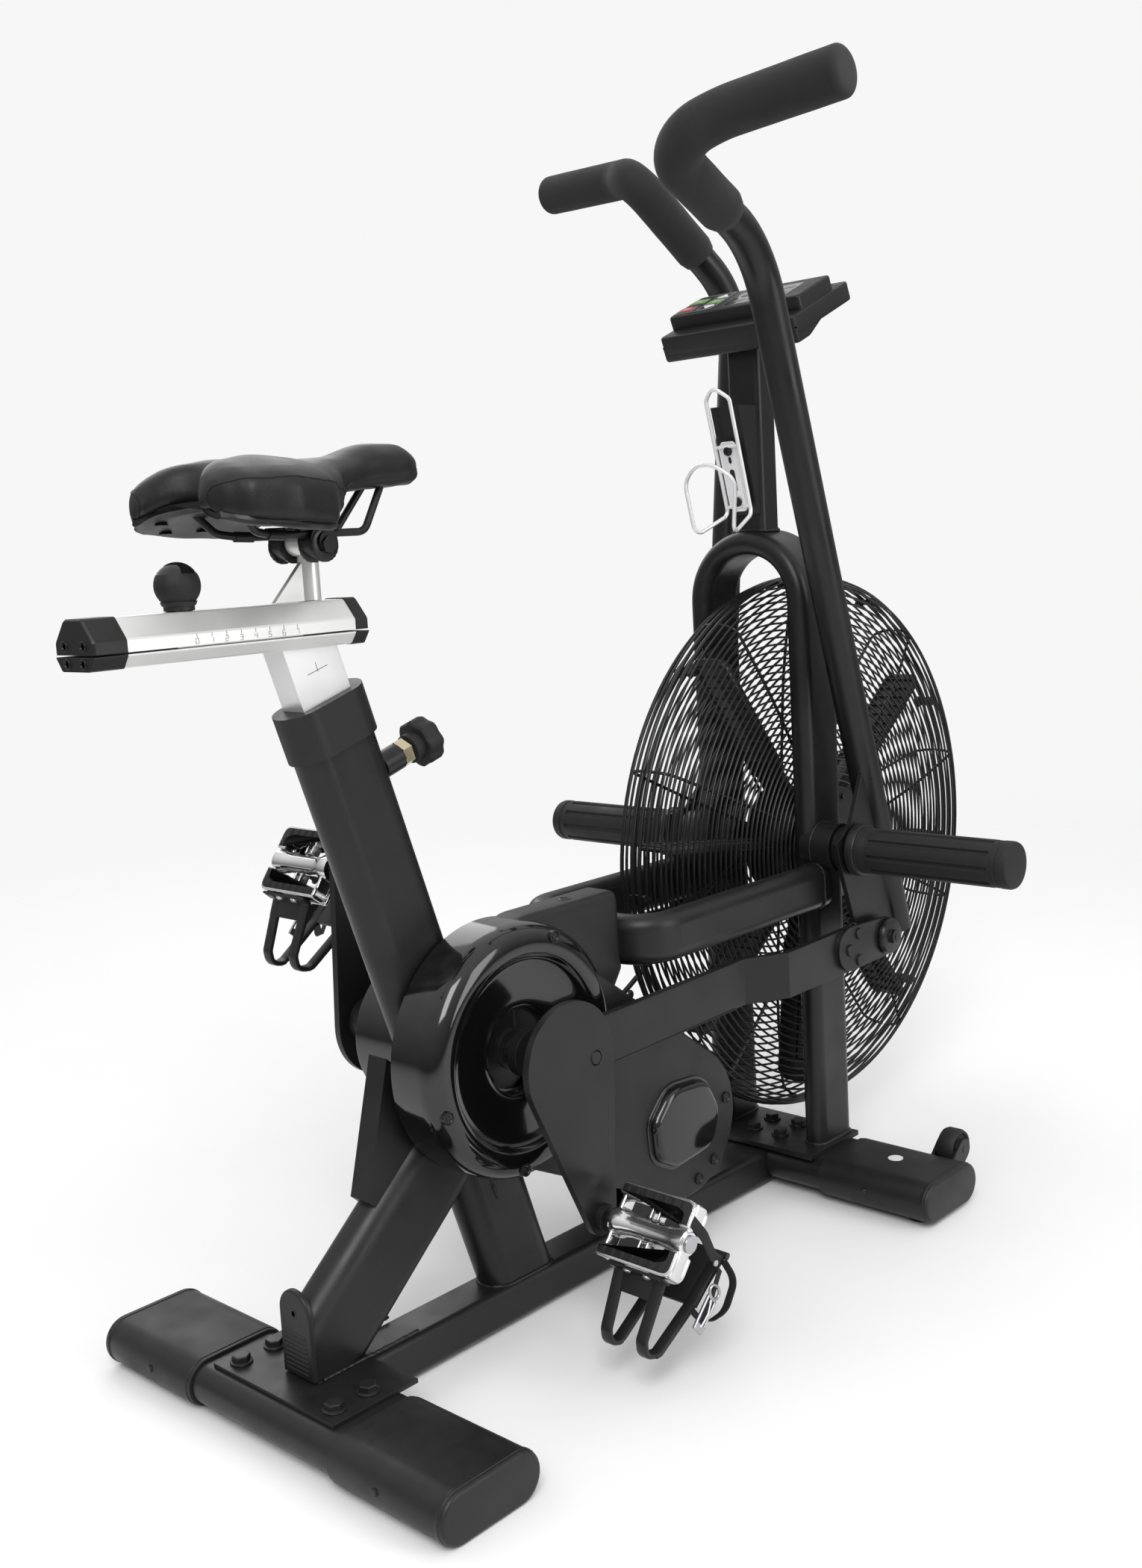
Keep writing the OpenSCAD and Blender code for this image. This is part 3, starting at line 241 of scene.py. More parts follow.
def arc(cx, cy, r, a0, a1, steps):
    """Points round a centre from angle a0 to a1, both ends included."""
    angles = [a0 + (a1 - a0) * i / steps for i in range(steps + 1)]
    return [(cx + r * cos(a), cy + r * sin(a)) for a in angles]


def hoop(centre, r, y, steps):
    """A circle at y, round the cross-wise axis through centre."""
    return [(x, y, z) for x, z in arc(centre.x, centre.z, r, 0, TAU, steps)[:-1]]


def rect(x0, x1, y0, y1):
    return [(x0, y0), (x1, y0), (x1, y1), (x0, y1)]


def round_rect(w, h, r, steps=5):
    pts = []
    for sx, sy, a in ((1, 1, 0), (-1, 1, 1), (-1, -1, 2), (1, -1, 3)):
        pts += arc(sx * (w / 2 - r), sy * (h / 2 - r), r, a * TAU / 4, (a + 1) * TAU / 4, steps)
    return pts


def round_poly(points, r, steps=5):
    """A polygon with each corner rounded; r is one radius or one for each corner."""
    out, n = [], len(points)
    for i in range(n):
        a, b, c = (Vector(points[(i + k) % n][:2]) for k in (-1, 0, 1))
        u, v = (a - b).normalized(), (c - b).normalized()
        rr = r[i] if isinstance(r, (list, tuple)) else r
        half = acos(max(-1, min(1, u.dot(v)))) / 2
        back = min(rr / tan(half), (a - b).length * 0.49, (c - b).length * 0.49)
        p, q = b + u * back, b + v * back
        for k in range(steps + 1):
            t = k / steps
            out.append(tuple((1 - t) ** 2 * p + 2 * t * (1 - t) * b + t * t * q))
    return out


def inset(points, d):
    """Moves an outline inward by d along its vertex normals."""
    n = len(points)
    area = sum(a[0] * b[1] - b[0] * a[1] for a, b in zip(points, points[1:] + points[:1]))
    side = 1 if area > 0 else -1
    out = []
    for i in range(n):
        a, b = Vector(points[i - 1][:2]), Vector(points[(i + 1) % n][:2])
        t = (b - a).normalized() if (b - a).length > 1e-9 else Vector((1, 0))
        out.append((points[i][0] - side * t.y * d, points[i][1] + side * t.x * d))
    return out


def slab(points, t0, t1, edge0=0.0, edge1=0.0, steps=4):
    """An outline extruded along local Z from t0 to t1 with rounded edges at either end."""
    rings = []
    for t, e, sign in ((t0, edge0, 1), (t1, edge1, -1)):
        part = []
        for k in range(steps + 1 if e else 1):
            a = k / steps * TAU / 4 if e else 0
            gap = e * (1 - sin(a)) if e else 0
            z = t + sign * e * (1 - cos(a)) if e else t
            ring = inset(points, gap) if gap > 1e-6 else points
            part.append([(x, y, z) for x, y in ring])
        rings += part if sign == 1 else part[::-1]
    return loft(rings)


# Stands a drawing in the X-Z plane, its thickness towards +Y
SIDEWAYS = Matrix(((1, 0, 0, 0), (0, 0, 1, 0), (0, 1, 0, 0), (0, 0, 0, 1)))


def frames(path, closed=False):
    """Directions along a path and a side vector that doesn't twist."""
    n = len(path)
    pts = [Vector(p) for p in path]
    dirs = []
    for i in range(n):
        a = pts[i - 1] if i or closed else pts[0]
        b = pts[(i + 1) % n] if i < n - 1 or closed else pts[-1]
        dirs.append((b - a).normalized())
    side = dirs[0].orthogonal().normalized()
    sides = []
    for d in dirs:
        side = (side - d * side.dot(d)).normalized()
        sides.append(side)
    return pts, dirs, sides


def tube(path, r, sides=10, closed=False):
    """A round bar swept along a path; r is one radius or one for each point."""
    pts, dirs, normals = frames(path, closed)
    rings = []
    for i, p in enumerate(pts):
        rr = r[i] if isinstance(r, (list, tuple)) else r
        other = dirs[i].cross(normals[i])
        rings.append([p + (normals[i] * cos(TAU * k / sides) + other * sin(TAU * k / sides)) * rr
                      for k in range(sides)])
    return loft(rings, closed)


def band(path, width, thick, across):
    """A flat strip swept along a path; across is the direction of its width."""
    pts, dirs, _ = frames(path)
    rings = []
    for i, p in enumerate(pts):
        w = Vector(across)
        w = (w - dirs[i] * w.dot(dirs[i])).normalized()
        h = dirs[i].cross(w)
        rings.append([p + w * x + h * y for x, y in round_rect(width, thick, min(width, thick) * 0.42, 2)])
    return loft(rings)


def curve(points, radii, steps=10):
    """A path in space whose inner corners are arcs."""
    pts = [Vector(p) for p in points]
    out = [pts[0]]
    for i in range(1, len(pts) - 1):
        a, b, c = pts[i - 1], pts[i], pts[i + 1]
        u, v = (a - b).normalized(), (c - b).normalized()
        half = acos(max(-1, min(1, u.dot(v)))) / 2
        back = radii[i - 1] / tan(half)
        start, centre = b + u * back, b + (u + v).normalized() * (radii[i - 1] / sin(half))
        s, e = start - centre, (b + v * back) - centre
        for k in range(steps + 1):
            out.append(centre + s.slerp(e, k / steps).normalized() * radii[i - 1])
    return out + [pts[-1]]


def spaced(path, gap):
    """Points along a path no further apart than gap."""
    out = [Vector(path[0])]
    for a, b in zip(path, path[1:]):
        a, b = Vector(a), Vector(b)
        n = max(1, round((b - a).length / gap))
        out += [a.lerp(b, (k + 1) / n) for k in range(n)]
    return out


def lathe(profile, steps=40, ripple=None):
    """Turns (r, z) pairs round local Z; ripple scales a radius by angle and z."""
    rings = []
    for r, z in profile:
        rings.append([])
        for k in range(steps):
            a = TAU * k / steps
            radius = r * ripple(a, z) if ripple else r
            rings[-1].append((radius * cos(a), radius * sin(a), z))
    return loft(rings)


def aimed(p, d, x=None):
    """Places local Z along d at p."""
    z = Vector(d).normalized()
    x = Vector(x) if x else z.orthogonal()
    x = (x - z * x.dot(z)).normalized()
    m = Matrix((x, z.cross(x), z)).transposed().to_4x4()
    m.translation = Vector(p)
    return m


def hex_head(r, h):
    """A hexagon bolt head with a chamfered top."""
    six = [(r * cos(TAU * k / 6), r * sin(TAU * k / 6)) for k in range(6)]
    return slab(six, 0, h, 0, r * 0.12, 2)


def box_part(w, d, h, r=1.0):
    """A block, w by d by h, with rounded edges."""
    edge = min(r, h / 2.1)
    return slab(round_rect(w, d, min(r, w / 2.1, d / 2.1), 3), -h / 2, h / 2, edge, edge, 3)


def bead(path, r, closed=True):
    """A weld bead with an uneven ripple."""
    pts = spaced(path, 2.2)
    radii = [r * (0.85 + 0.3 * noise.noise(p * 0.25) + 0.12 * sin(i * 1.7)) for i, p in enumerate(pts)]
    return tube(pts, radii, 8, closed)


# ---------------- shared sizes, in millimetres

CRANK = Vector((-267, 0, 310))
JACK = Vector((-30, 0, 163))
FAN = Vector((336, 0, 409))
PEG = Vector((247, 0, 425))
LEAN = radians(17.65)
SEAT_FOOT = Vector((-225.4, 0, 44))
SEAT_UP = Vector((-sin(LEAN), 0, cos(LEAN)))
SEAT_OUT = Vector((cos(LEAN), 0, sin(LEAN)))
CRANK_A = radians(10.9)
CRANK_LONG = 169
PEDAL = [CRANK + s * CRANK_LONG * Vector((sin(CRANK_A), 0, -cos(CRANK_A))) for s in (1, -1)]
REAR_X, FRONT_X = -507, 243

# ---------------- CAD nodes that are shown

# Painted shade: the chainring and bearings get black oxide so that the recess inside the chain cover's drum
# reads dark
FINISH = {
    "main_frame": PAINT, "front_frame": PAINT, "rear_stabiliser": PAINT, "front_stabiliser": PAINT,
    "seat_collar": MATTE, "pop_pin_nut": BRASS, "cover_left": GLOSS,
    "bearings": BLACK_STEEL, "drive_chain": STEEL, "fan_belt": RUBBER, "fan_axle": BLACK_STEEL,
    "peg_axles": STEEL, "bottle_bracket": PAINT, "foot_right": RUBBER, "foot_left": RUBBER,
    "seat_post": POST, "saddle_mount": SILVER, "saddle_clamp": BLACK_STEEL, "crank_axle": BLACK_STEEL,
    "chainring": BLACK_STEEL, "crank_plates": PAINT, "pedal_spindles": BLACK_STEEL, "jackshaft": STEEL,
    "arm_right": PAINT, "arm_left": PAINT, "link_right": PAINT, "link_left": PAINT,
}
for node_name, finish in FINISH.items():
    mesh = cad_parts[node_name].data
    mesh.materials.clear()
    mesh.materials.append(finish)

# ---------------- stabiliser sleeves, bolts and wheels


def sleeve(x, z):
    """End sleeve with a rounded end, a shadow line and a small fixing screw."""
    s = Shape()
    outline = []
    for sx, a in ((1, -0.25), (-1, 0.25)):
        outline += arc(sx * 34, 0, 24, a * TAU, (a + 0.5) * TAU, 18)
    place = at((x, 0, z)) @ SIDEWAYS
    s.add(slab(outline, -252.5, -248, 4, 0), place=place)
    s.add(slab(outline, -248, -108, 0.5, 0.6), place=place)
    s.add(slab(inset(outline, -0.7), -247.4, -243.5, 0.6, 0.6), place=place)
    s.add(slab(inset(outline, 0.8), -108.5, -103.5, 0, 1.2), place=place)
    s.spin([(4, 0), (4, 1.2), (3, 2), (0.5, 2)], 16, (x - 57.6, -169, z + 2), (-1, 0, 0), 1)
    return s


for x, z, tag in ((REAR_X, 24, "rear"), (FRONT_X, 28, "front")):
    both = sleeve(x, z).mirrored()
    both.build(f"end_sleeves_{tag}", "frame", [MATTE, BLACK_STEEL], ["stabiliser_sleeves"])

bolts = Shape()
for x, y, z in [(x, s * 70, 48) for x in (-525, -486) for s in (-1, 1)] + \
        [(x, s * 20, 54) for x in (229, 268) for s in (-1, 1)]:
    bolts.add(lathe([(5.6, 0), (11, 0), (11, 1.6), (10.4, 2), (5, 2)], 32), place=at((x, y, z)))
    bolts.add(hex_head(9, 6), smooth=False,
              place=at((x, y, z + 2)) @ Matrix.Rotation(random.uniform(0, 1), 4, "Z"))
bolts.build("stabiliser_bolt_heads", "frame", [BLACK_STEEL], ["stabiliser_bolts"])

dot = Shape().add(lathe([(0.1, 0), (9, 0), (9, 0.35), (0.1, 0.4)], 32), place=at((247, -175, 52.1)))
dot.build("round_sticker", "frame", [WHITE])

for side, label in ((-1, "right"), (1, "left")):
    w = Shape()
    tread = [(4.1, -10.8), (9, -10.8), (10, -8), (17, -8), (18.5, -10.8), (21.5, -10.4), (23, -7), (23, 7),
             (21.5, 10.4), (18.5, 10.8), (17, 8), (10, 8), (9, 10.8), (4.1, 10.8)]
    w.spin(tread, 44, (319, side * 211, 51), (0, 1, 0))
    w.build(f"roller_{label}", f"transport_wheel_{label}", [RUBBER], [f"wheel_{label}"])

# ---------------- cap on the foot of the strut

end_cap = Shape()
face = [(-22.5, 49.5), (22.5, 49.5)] + arc(0, 112, 22.5, 0, TAU / 2, 20)
rearward = at((-505.2, 0, 0)) @ Matrix(((0, 0, -1, 0), (1, 0, 0, 0), (0, 1, 0, 0), (0, 0, 0, 1)))
end_cap.add(slab(face, 0, 5.5, 0, 2.6, 5), place=rearward)
for i in range(9):
    end_cap.add(box_part(0.9, 33, 2.6, 0.4), place=at((-510.8, 0, 55 + i * 4.6)))
end_cap.spin([(0.3, -0.6), (2.4, -0.5), (3, 0.5), (4.4, 0.5), (5, 0)], 24, (-510.7, 0, 112), (-1, 0, 0), 1)
end_cap.build("strut_foot_cap", "frame", [MATTE, BLACK_STEEL], ["strut_end_cap"])

# ---------------- weld beads on the frame

welds = Shape()


def stadium_path(length, width, place, steps=16):
    """A round-ended outline on the local X-Y plane of place."""
    side, r = (length - width) / 2, width / 2
    pts = arc(side, 0, r, -TAU / 4, TAU / 4, steps) + arc(-side, 0, r, TAU / 4, TAU * 3 / 4, steps)
    return [place @ Vector((x, y, 0)) for x, y in pts]


slanted_cut = at((-225.7, 0, 45.5)) @ Matrix.Diagonal((1 / cos(LEAN), 1, 1, 1))
welds.add(bead(stadium_path(88, 44, slanted_cut), 2.4))
for y in (-71, 71):
    welds.add(bead(stadium_path(72, 29, at((259, y, 54.5))), 2.6))
welds.add(bead([(x + 255, y, 804.5 - 0.0045 * y * y) for x, y in round_rect(37, 47, 8, 4)], 2.4))
for s in (-1, 1):
    welds.add(bead([(223.4, s * 88 + y, 381 + z) for y, z in round_rect(30, 55, 14.8, 6)], 2.0))
    welds.add(bead(hoop(PEG, 29.3, s * 86.2, 40), 1.8))
for y in (-22.5, 22.5):
    top = [Vector((-326 + 62 * t, y * 0.96, 322 - 178 * t)) for t in (0, 0.33, 0.66, 1)]
    welds.add(bead(top, 2.2, closed=False))
    foot = [Vector((-500 + 118 * t, y, 49)) for t in (0, 0.5, 1)]
    welds.add(bead(foot, 2.2, closed=False))
welds.build("weld_beads", "frame", [PAINT])

# ---------------- fan guard

RIM_R, LIP = 334.4, 15
EDGE = 0.13  # share of the dome that is its rounded rim


def dome(f):
    """Radius and half-width of the guard, from the rim (0) to the centre plate (1)."""
    if f < EDGE:
        a = f / EDGE * TAU / 4
        return RIM_R - LIP * (1 - cos(a)), 5 + 27 * sin(a)
    f = (f - EDGE) / (1 - EDGE)
    return RIM_R - LIP - f * 249, 32 + 11 * sin(min(1.0, f * 1.7) * TAU / 4)


RINGS = 33
SPOKES = 10
for side, label in ((-1, "right"), (1, "left")):
    guard = Shape()
    for i in range(RINGS):
        r, y = dome(i / (RINGS - 1))
        guard.add(tube(hoop(FAN, r, side * y, 120), 2.4 if i == 0 else 1.45, 6, closed=True))
    for k in range(SPOKES):
        a = TAU * (k + 0.35) / SPOKES
        path = []
        for j in range(25):
            r, y = dome(j / 24)
            path.append((FAN.x + r * cos(a), side * (y - 2.6), FAN.z + r * sin(a)))
        guard.add(tube(path, 1.9, 8))
    plate = [(15, 41.6), (70, 41.6), (72, 42.2), (72, 44), (70, 44.6), (52, 44.8), (50, 46), (17, 46),
             (15, 45)]
    guard.spin(plate, 56, FAN, (0, side, 0), 1)
    for k in range(6):
        a = TAU * (k + 0.2) / 6
        guard.add(hex_head(4.5, 3), 1, False,
                  aimed((FAN.x + 60 * cos(a), side * 44.6, FAN.z + 60 * sin(a)), (0, side, 0)))
    guard.build(f"guard_cage_{label}", "frame", [WIRE, PAINT], [f"guard_{label}"], sharp=60)

clips = Shape()
for deg in (10, 46, 82, 130, 178, 226, 262, 298, 334):
    a = radians(deg)
    out = Vector((cos(a), 0, -sin(a)))
    c = FAN + out * 331
    m = Matrix((out.cross(Vector((0, 1, 0))), Vector((0, 1, 0)), out)).transposed().to_4x4()
    m.translation = c
    clips.add(box_part(13, 19, 3.2, 1.2), place=m)
    for side in (-1, 1):
        clips.add(box_part(13, 5, 9, 1.2), place=m @ at((0, side * 9, -1)))
    for side in (-1, 1):
        clips.spin([(0.3, 0), (4.4, 0), (4.4, 2), (3, 3.4), (0.3, 3.6)], 20,
                   c + Vector((0, side * 11.4, 0)) - out * 2, (0, side, 0), 1)
clips.build("guard_rim_clips", "frame", [PAINT, BLACK_STEEL], ["guard_clips"])

# ---------------- fan

fan = Shape()
hub = [(7.6, -48), (12, -48), (12, -21), (60, -21), (66, -18), (68, -12), (68, 12), (66, 18), (60, 21),
       (12, 21), (12, 48), (23.5, 48), (23.5, 49.4), (20.6, 50), (20.6, 54), (23.5, 54.6), (23.5, 56),
       (7.6, 56)]
fan.spin(hub, 56, FAN, (0, 1, 0))
for k in range(8):
    a = TAU * k / 8 + radians(8)
    m = at(FAN) @ Matrix.Rotation(a, 4, "Y")
    blade = round_poly([(62, -20), (120, -20), (132, -25), (300, -25), (311, -17), (311, 17), (300, 25),
                        (132, 25), (120, 20), (62, 20)], 6, 3)
    fan.add(slab(blade, -1.6, 1.6, 0.8, 0.8, 2), place=m)
    for e in (-1, 1):
        rim = [(x, e * y, 0) for x, y in ((64, 18.5), (121, 18.5), (133, 23.6), (300, 23.6), (309, 16))]
        fan.add(band(rim, 9, 3, (0, 0, 1)), place=m)
    for x in range(146, 300, 17):
        fan.add(box_part(3.2, 44, 8, 1.2), place=m @ at((x, 0, 0)))
    fan.add(box_part(190, 4, 10, 1.5), place=m @ at((190, 0, 0)))
fan.build("paddle_fan", "fan", [BLADE], ["fan_wheel"])

# ---------------- covers on the right side

cover = Shape()
FACE = -86
drum_profile = [(128, -26), (128, -64), (127.4, -70), (125.4, -76), (121.6, -81), (116, -84.6), (110, -86),
                (103, -86), (99.4, -85.2), (97, -82.6), (95, -78.4), (91, -75.4), (84, -74.2), (60, -73.8),
                (48, -73.4), (44.8, -72.2), (43, -69.4), (42.4, -60.6), (40, -60.4)]
cover.add(loft([hoop(CRANK, r, y, 96) for r, y in drum_profile], caps=False))
box_outline = [(-262, 300), (-262, 438.6), (-99, 438.6), (-96, 352), (-120, 318)]
cover.add(slab(round_poly(box_outline, [3, 30, 12, 8, 4], 6), -62, -26, 7, 2), 1, place=SIDEWAYS)
cover.add(lathe([(0.5, 0), (6.5, 0), (6.5, 1), (5, 1.6), (4, 0.2), (0.5, 0.2)], 24), 2,
          place=at((-162, -44, 438)))
cover.build("chain_cover_drum", "frame", [GLOSS, MATTE, BLACK_STEEL], ["cover_right"])

lobe = Shape()
run = Vector((JACK.x - CRANK.x, JACK.z - CRANK.z))
lean, spread = atan2(run.y, run.x), acos((108 - 84) / run.length)
a0, a1 = lean - spread, lean + spread
outline = arc(JACK.x, JACK.z, 84, a0, a1, 40)
outline += [(CRANK.x + 108 * cos(a1), CRANK.z + 108 * sin(a1))]
outline += arc(CRANK.x, CRANK.z, 101, a1 - 0.03, a0 + 0.03, 48)
outline += [(CRANK.x + 108 * cos(a0), CRANK.z + 108 * sin(a0))]
lobe.add(slab(outline, -84.6, -27, 3, 0, 4), place=SIDEWAYS)
lobe.build("chain_cover_lobe", "frame", [MATTE], ["cover_right"])

bump = Shape()
mound_outline = [(-66, 20), (-34, 52), (26, 47), (49, 8), (34, -34), (-30, -40), (-62, -22)]
mound = round_poly([(JACK.x + x, JACK.z + z) for x, z in mound_outline], [22, 34, 34, 34, 30, 26, 22], 7)
bump.add(slab(mound, -96, -80, 8, 0, 6), place=SIDEWAYS)
bump.add(slab(inset(mound, -4), -86.4, -84, 1.2, 0, 3), place=SIDEWAYS)
bump.build("cover_bulge", "frame", [GLOSS], ["cover_right"])

screws = Shape()
for c, rad, deg in ((CRANK, 116, 68), (CRANK, 117, 196), (CRANK, 116, 262), (JACK, 70, 8), (JACK, 70, -78),
                    (JACK, 70, -52)):
    a = radians(deg)
    p = (c.x + rad * cos(a), FACE + 3.0, c.z + rad * sin(a))
    head = [(0.2, 3.4), (2.2, 3.2), (2.6, 2.2), (4.6, 2.2), (5.4, 3.2), (5.6, 4), (6.4, 4), (6.4, -2)]
    screws.spin(head, 28, p, (0, -1, 0))
screws.spin([(0.2, 0.6), (4.2, 0.4), (5.2, -1)], 24, (-112, FACE + 2, 330), (0, -1, 0))
screws.build("cover_screw_heads", "frame", [BLACK_STEEL], ["cover_screws"])

# ---------------- saddle slide


def extruded(section, x0, x1):
    """A Y-Z section drawn out along X."""
    return loft([[(x, y, z) for y, z in section] for x in (x0, x1)])


LOWER = [(-19, 722), (19, 722), (21, 723), (27.6, 731.8), (28, 733.2), (-28, 733.2), (-27.6, 731.8),
         (-21, 723)]
UPPER = [(-28, 734.8), (28, 734.8), (28, 744), (27, 746), (14, 761.6), (12, 762.8), (-12, 762.8),
         (-14, 761.6), (-27, 746), (-28, 744)]
TONGUE = [(-18.72, 733), (18.72, 733), (18.72, 745), (8.64, 755), (-8.64, 755), (-18.72, 745)]
SCALE_X, SCALE_STEP = -567, 104 / 7
END_SCREW = [(2, 0), (4.6, 0), (4.6, 1), (3.4, 1.4), (2, -2)]

rail = Shape().add(extruded(LOWER, -633, -397.4), smooth=False)
rail.add(extruded(TONGUE, -580, -450), smooth=False)
for x0, x1 in ((-664, -633.2), (-397.2, -383)):
    rail.add(extruded([(y * 1.03, z - 0.6 if z < 730 else z) for y, z in LOWER], x0, x1), 1, False)
for y in (-12, 12):
    rail.spin(END_SCREW, 20, (-664, y, 727.6), (-1, 0, 0), 2)
rail.build("slide_rail", "seat_column", [SILVER, MATTE, BLACK_STEEL], ["slider_rail"])

slide = Shape().add(extruded(UPPER, -633, -397.4), smooth=False)
for s in (-1, 1):
    for i in range(8):
        x = SCALE_X + i * SCALE_STEP
        slide.add(box_part(0.5, 0.4, 3.4, 0.15), 1, place=at((x, s * 28.02, 743)))

# Each digit's strokes, named as on a seven-segment display
SEGMENTS = {"a": ((0, 1), (1, 1)), "b": ((1, 1), (1, 0.5)), "c": ((1, 0.5), (1, 0)), "d": ((0, 0), (1, 0)),
            "e": ((0, 0.5), (0, 0)), "f": ((0, 1), (0, 0.5)), "g": ((0, 0.5), (1, 0.5))}
DIGITS = ["abcdef", "bc", "abged", "abgcd", "fgbc", "afgcd", "afgedc", "abc"]
for i, digit in enumerate(DIGITS):
    x = SCALE_X + i * SCALE_STEP
    for seg in digit:
        (u0, v0), (u1, v1) = SEGMENTS[seg]
        a = Vector((x - 1.4 + 2.8 * u0, -28.05, 736.2 + 4.4 * v0))
        b = Vector((x - 1.4 + 2.8 * u1, -28.05, 736.2 + 4.4 * v1))
        slide.add(tube([a, b], 0.22, 5), 1)
slide.build("slide_carriage", "seat_carriage", [SILVER, GREY], ["slider_carriage"])

caps = Shape()
big = [(y * 1.035, 734.4 + (z - 734.4) * 1.03) for y, z in UPPER]
for outer, inner, out in ((-664, -633.2, -1), (-383, -397.2, 1)):
    caps.add(loft([[(outer, y * 0.95, 735 + (z - 735) * 0.95) for y, z in big],
                   [(outer - out * 2, y, z) for y, z in big],
                   [(inner, y, z) for y, z in big]]), smooth=False)
    for y in (-14, 14):
        caps.spin(END_SCREW, 20, (outer, y, 742), (out, 0, 0), 1)
caps.build("slide_end_caps", "seat_carriage", [MATTE, BLACK_STEEL], ["slider_caps"])

post_mark = Shape()
mark = SEAT_FOOT + SEAT_UP * 690 - Vector((0, 15.04, 0))
upright = Matrix.Rotation(-LEAN, 4, "Y")
post_mark.add(box_part(24, 0.14, 0.7, 0.05), place=at(mark) @ upright)
post_mark.add(box_part(0.7, 0.14, 9, 0.05), place=at(mark + SEAT_UP * 3) @ upright)
post_mark.build("post_limit_mark", "seat_column", [GREY])

ball = Shape()
stem = at((-563, 0, 0))
foot = [(4, 757), (11, 763.2), (13, 763.6), (13, 767), (14.5, 768.4), (15.5, 771)]
ball.add(lathe(foot, 44), 1, place=stem)
lower = [radians(d) for d in range(-42, 34, 6)]
ball.add(lathe([(15.5, 770.6)] + [(19.4 * cos(a), 784.5 + 19.4 * sin(a)) for a in lower], 48,
               lambda a, z: 1 + 0.010 * cos(12 * a)), place=stem)
crown = [radians(d) for d in range(28, 90, 4)]
ball.add(lathe([(18.4 * cos(a) + 0.4, 785.2 + 19.0 * sin(a)) for a in crown], 48), 2, place=stem)
ball.build("ball_knob", "slide_clamp_knob", [RUBBER, MATTE, GLOSS], ["clamp_knob"])

knob = Shape()
aim = aimed(SEAT_FOOT + SEAT_UP * 572, SEAT_OUT)
knob.add(lathe([(4, 30), (4, 78), (4, 84)], 20), 1, place=aim)
knob.add(lathe([(9, 79), (14.5, 81), (15, 90), (15, 91), (20, 92)], 40), place=aim)
head = [(16, 90), (21, 90.6), (23, 93), (23, 105), (21.5, 109), (17, 112), (8, 113), (0.4, 113.2)]
knob.add(lathe(head, 96, lambda a, z: 1 + (0.045 * cos(8 * a) if 90.2 < z < 112.5 else 0)), place=aim)
knob.build("pull_knob", "pop_pin", [RUBBER, STEEL], ["pop_pin"])

# ---------------- saddle

X_REAR, X_NOSE = -566.0, -295.0


def spline(t, keys):
    """Smooth value through (t, value) keys."""
    for (t0, v0), (t1, v1) in zip(keys, keys[1:]):
        if t <= t1:
            u = (t - t0) / (t1 - t0)
            u = u * u * (3 - 2 * u)
            return v0 + (v1 - v0) * u
    return keys[-1][1]


# Along the saddle, from its rear edge (0) to its nose (1): half-width, top and underside
HALF = [(0, 40), (0.03, 72), (0.09, 93), (0.22, 104), (0.38, 94), (0.50, 64), (0.60, 39), (0.74, 30),
        (0.92, 27), (0.975, 20), (1, 9)]
TOP = [(0, 866), (0.035, 881), (0.10, 888), (0.25, 892), (0.46, 888), (0.60, 891), (0.80, 903), (0.92, 903),
       (0.975, 896), (1, 886)]
LOW = [(0, 848), (0.03, 837), (0.10, 828), (0.30, 821), (0.44, 819), (0.53, 832), (0.63, 855), (0.82, 860),
       (0.95, 864), (1, 872)]


def saddle_ring(t, count=72):
    """One section across the saddle: t runs from the rear edge to the nose."""
    half, top, low = spline(t, HALF), spline(t, TOP), spline(t, LOW)
    x = X_REAR + t * (X_NOSE - X_REAR)
    mid, high = (top + low) / 2, (top - low) / 2
    hollow = spline(t, [(0, 14), (0.15, 22), (0.45, 24), (0.6, 8), (1, 3)])
    ring = []
    for k in range(count):
        a = TAU * k / count
        c, s = cos(a), sin(a)
        y = half * copysign(abs(c) ** 0.72, c)
        z = mid + high * copysign(abs(s) ** 0.74, s)
        if s > 0:
            z -= (5 + 9 * (half / 104)) * (y / half) ** 2 * s
            z -= 9 * exp(-(y / 12) ** 2) * spline(t, [(0, 1), (0.35, 0.8), (0.55, 0.2), (0.7, 0), (1, 0)])
        else:
            z += hollow * (1 - (abs(y) / half) ** 2) * abs(s)
            z -= 13 * (abs(y) / half) ** 3 * spline(t, [(0, 0.8), (0.15, 1), (0.38, 1), (0.56, 0), (1, 0)])
        push = 34 * exp(-(y / 26) ** 2) * max(0, 1 - t / 0.25) ** 1.5
        ring.append((x + push, y, z))
    return ring


def baked(obj):
    """A new mesh with the object's modifiers applied; the modifiers are then removed."""
    graph = bpy.context.evaluated_depsgraph_get()
    mesh = bpy.data.meshes.new_from_object(obj.evaluated_get(graph))
    obj.modifiers.clear()
    return mesh


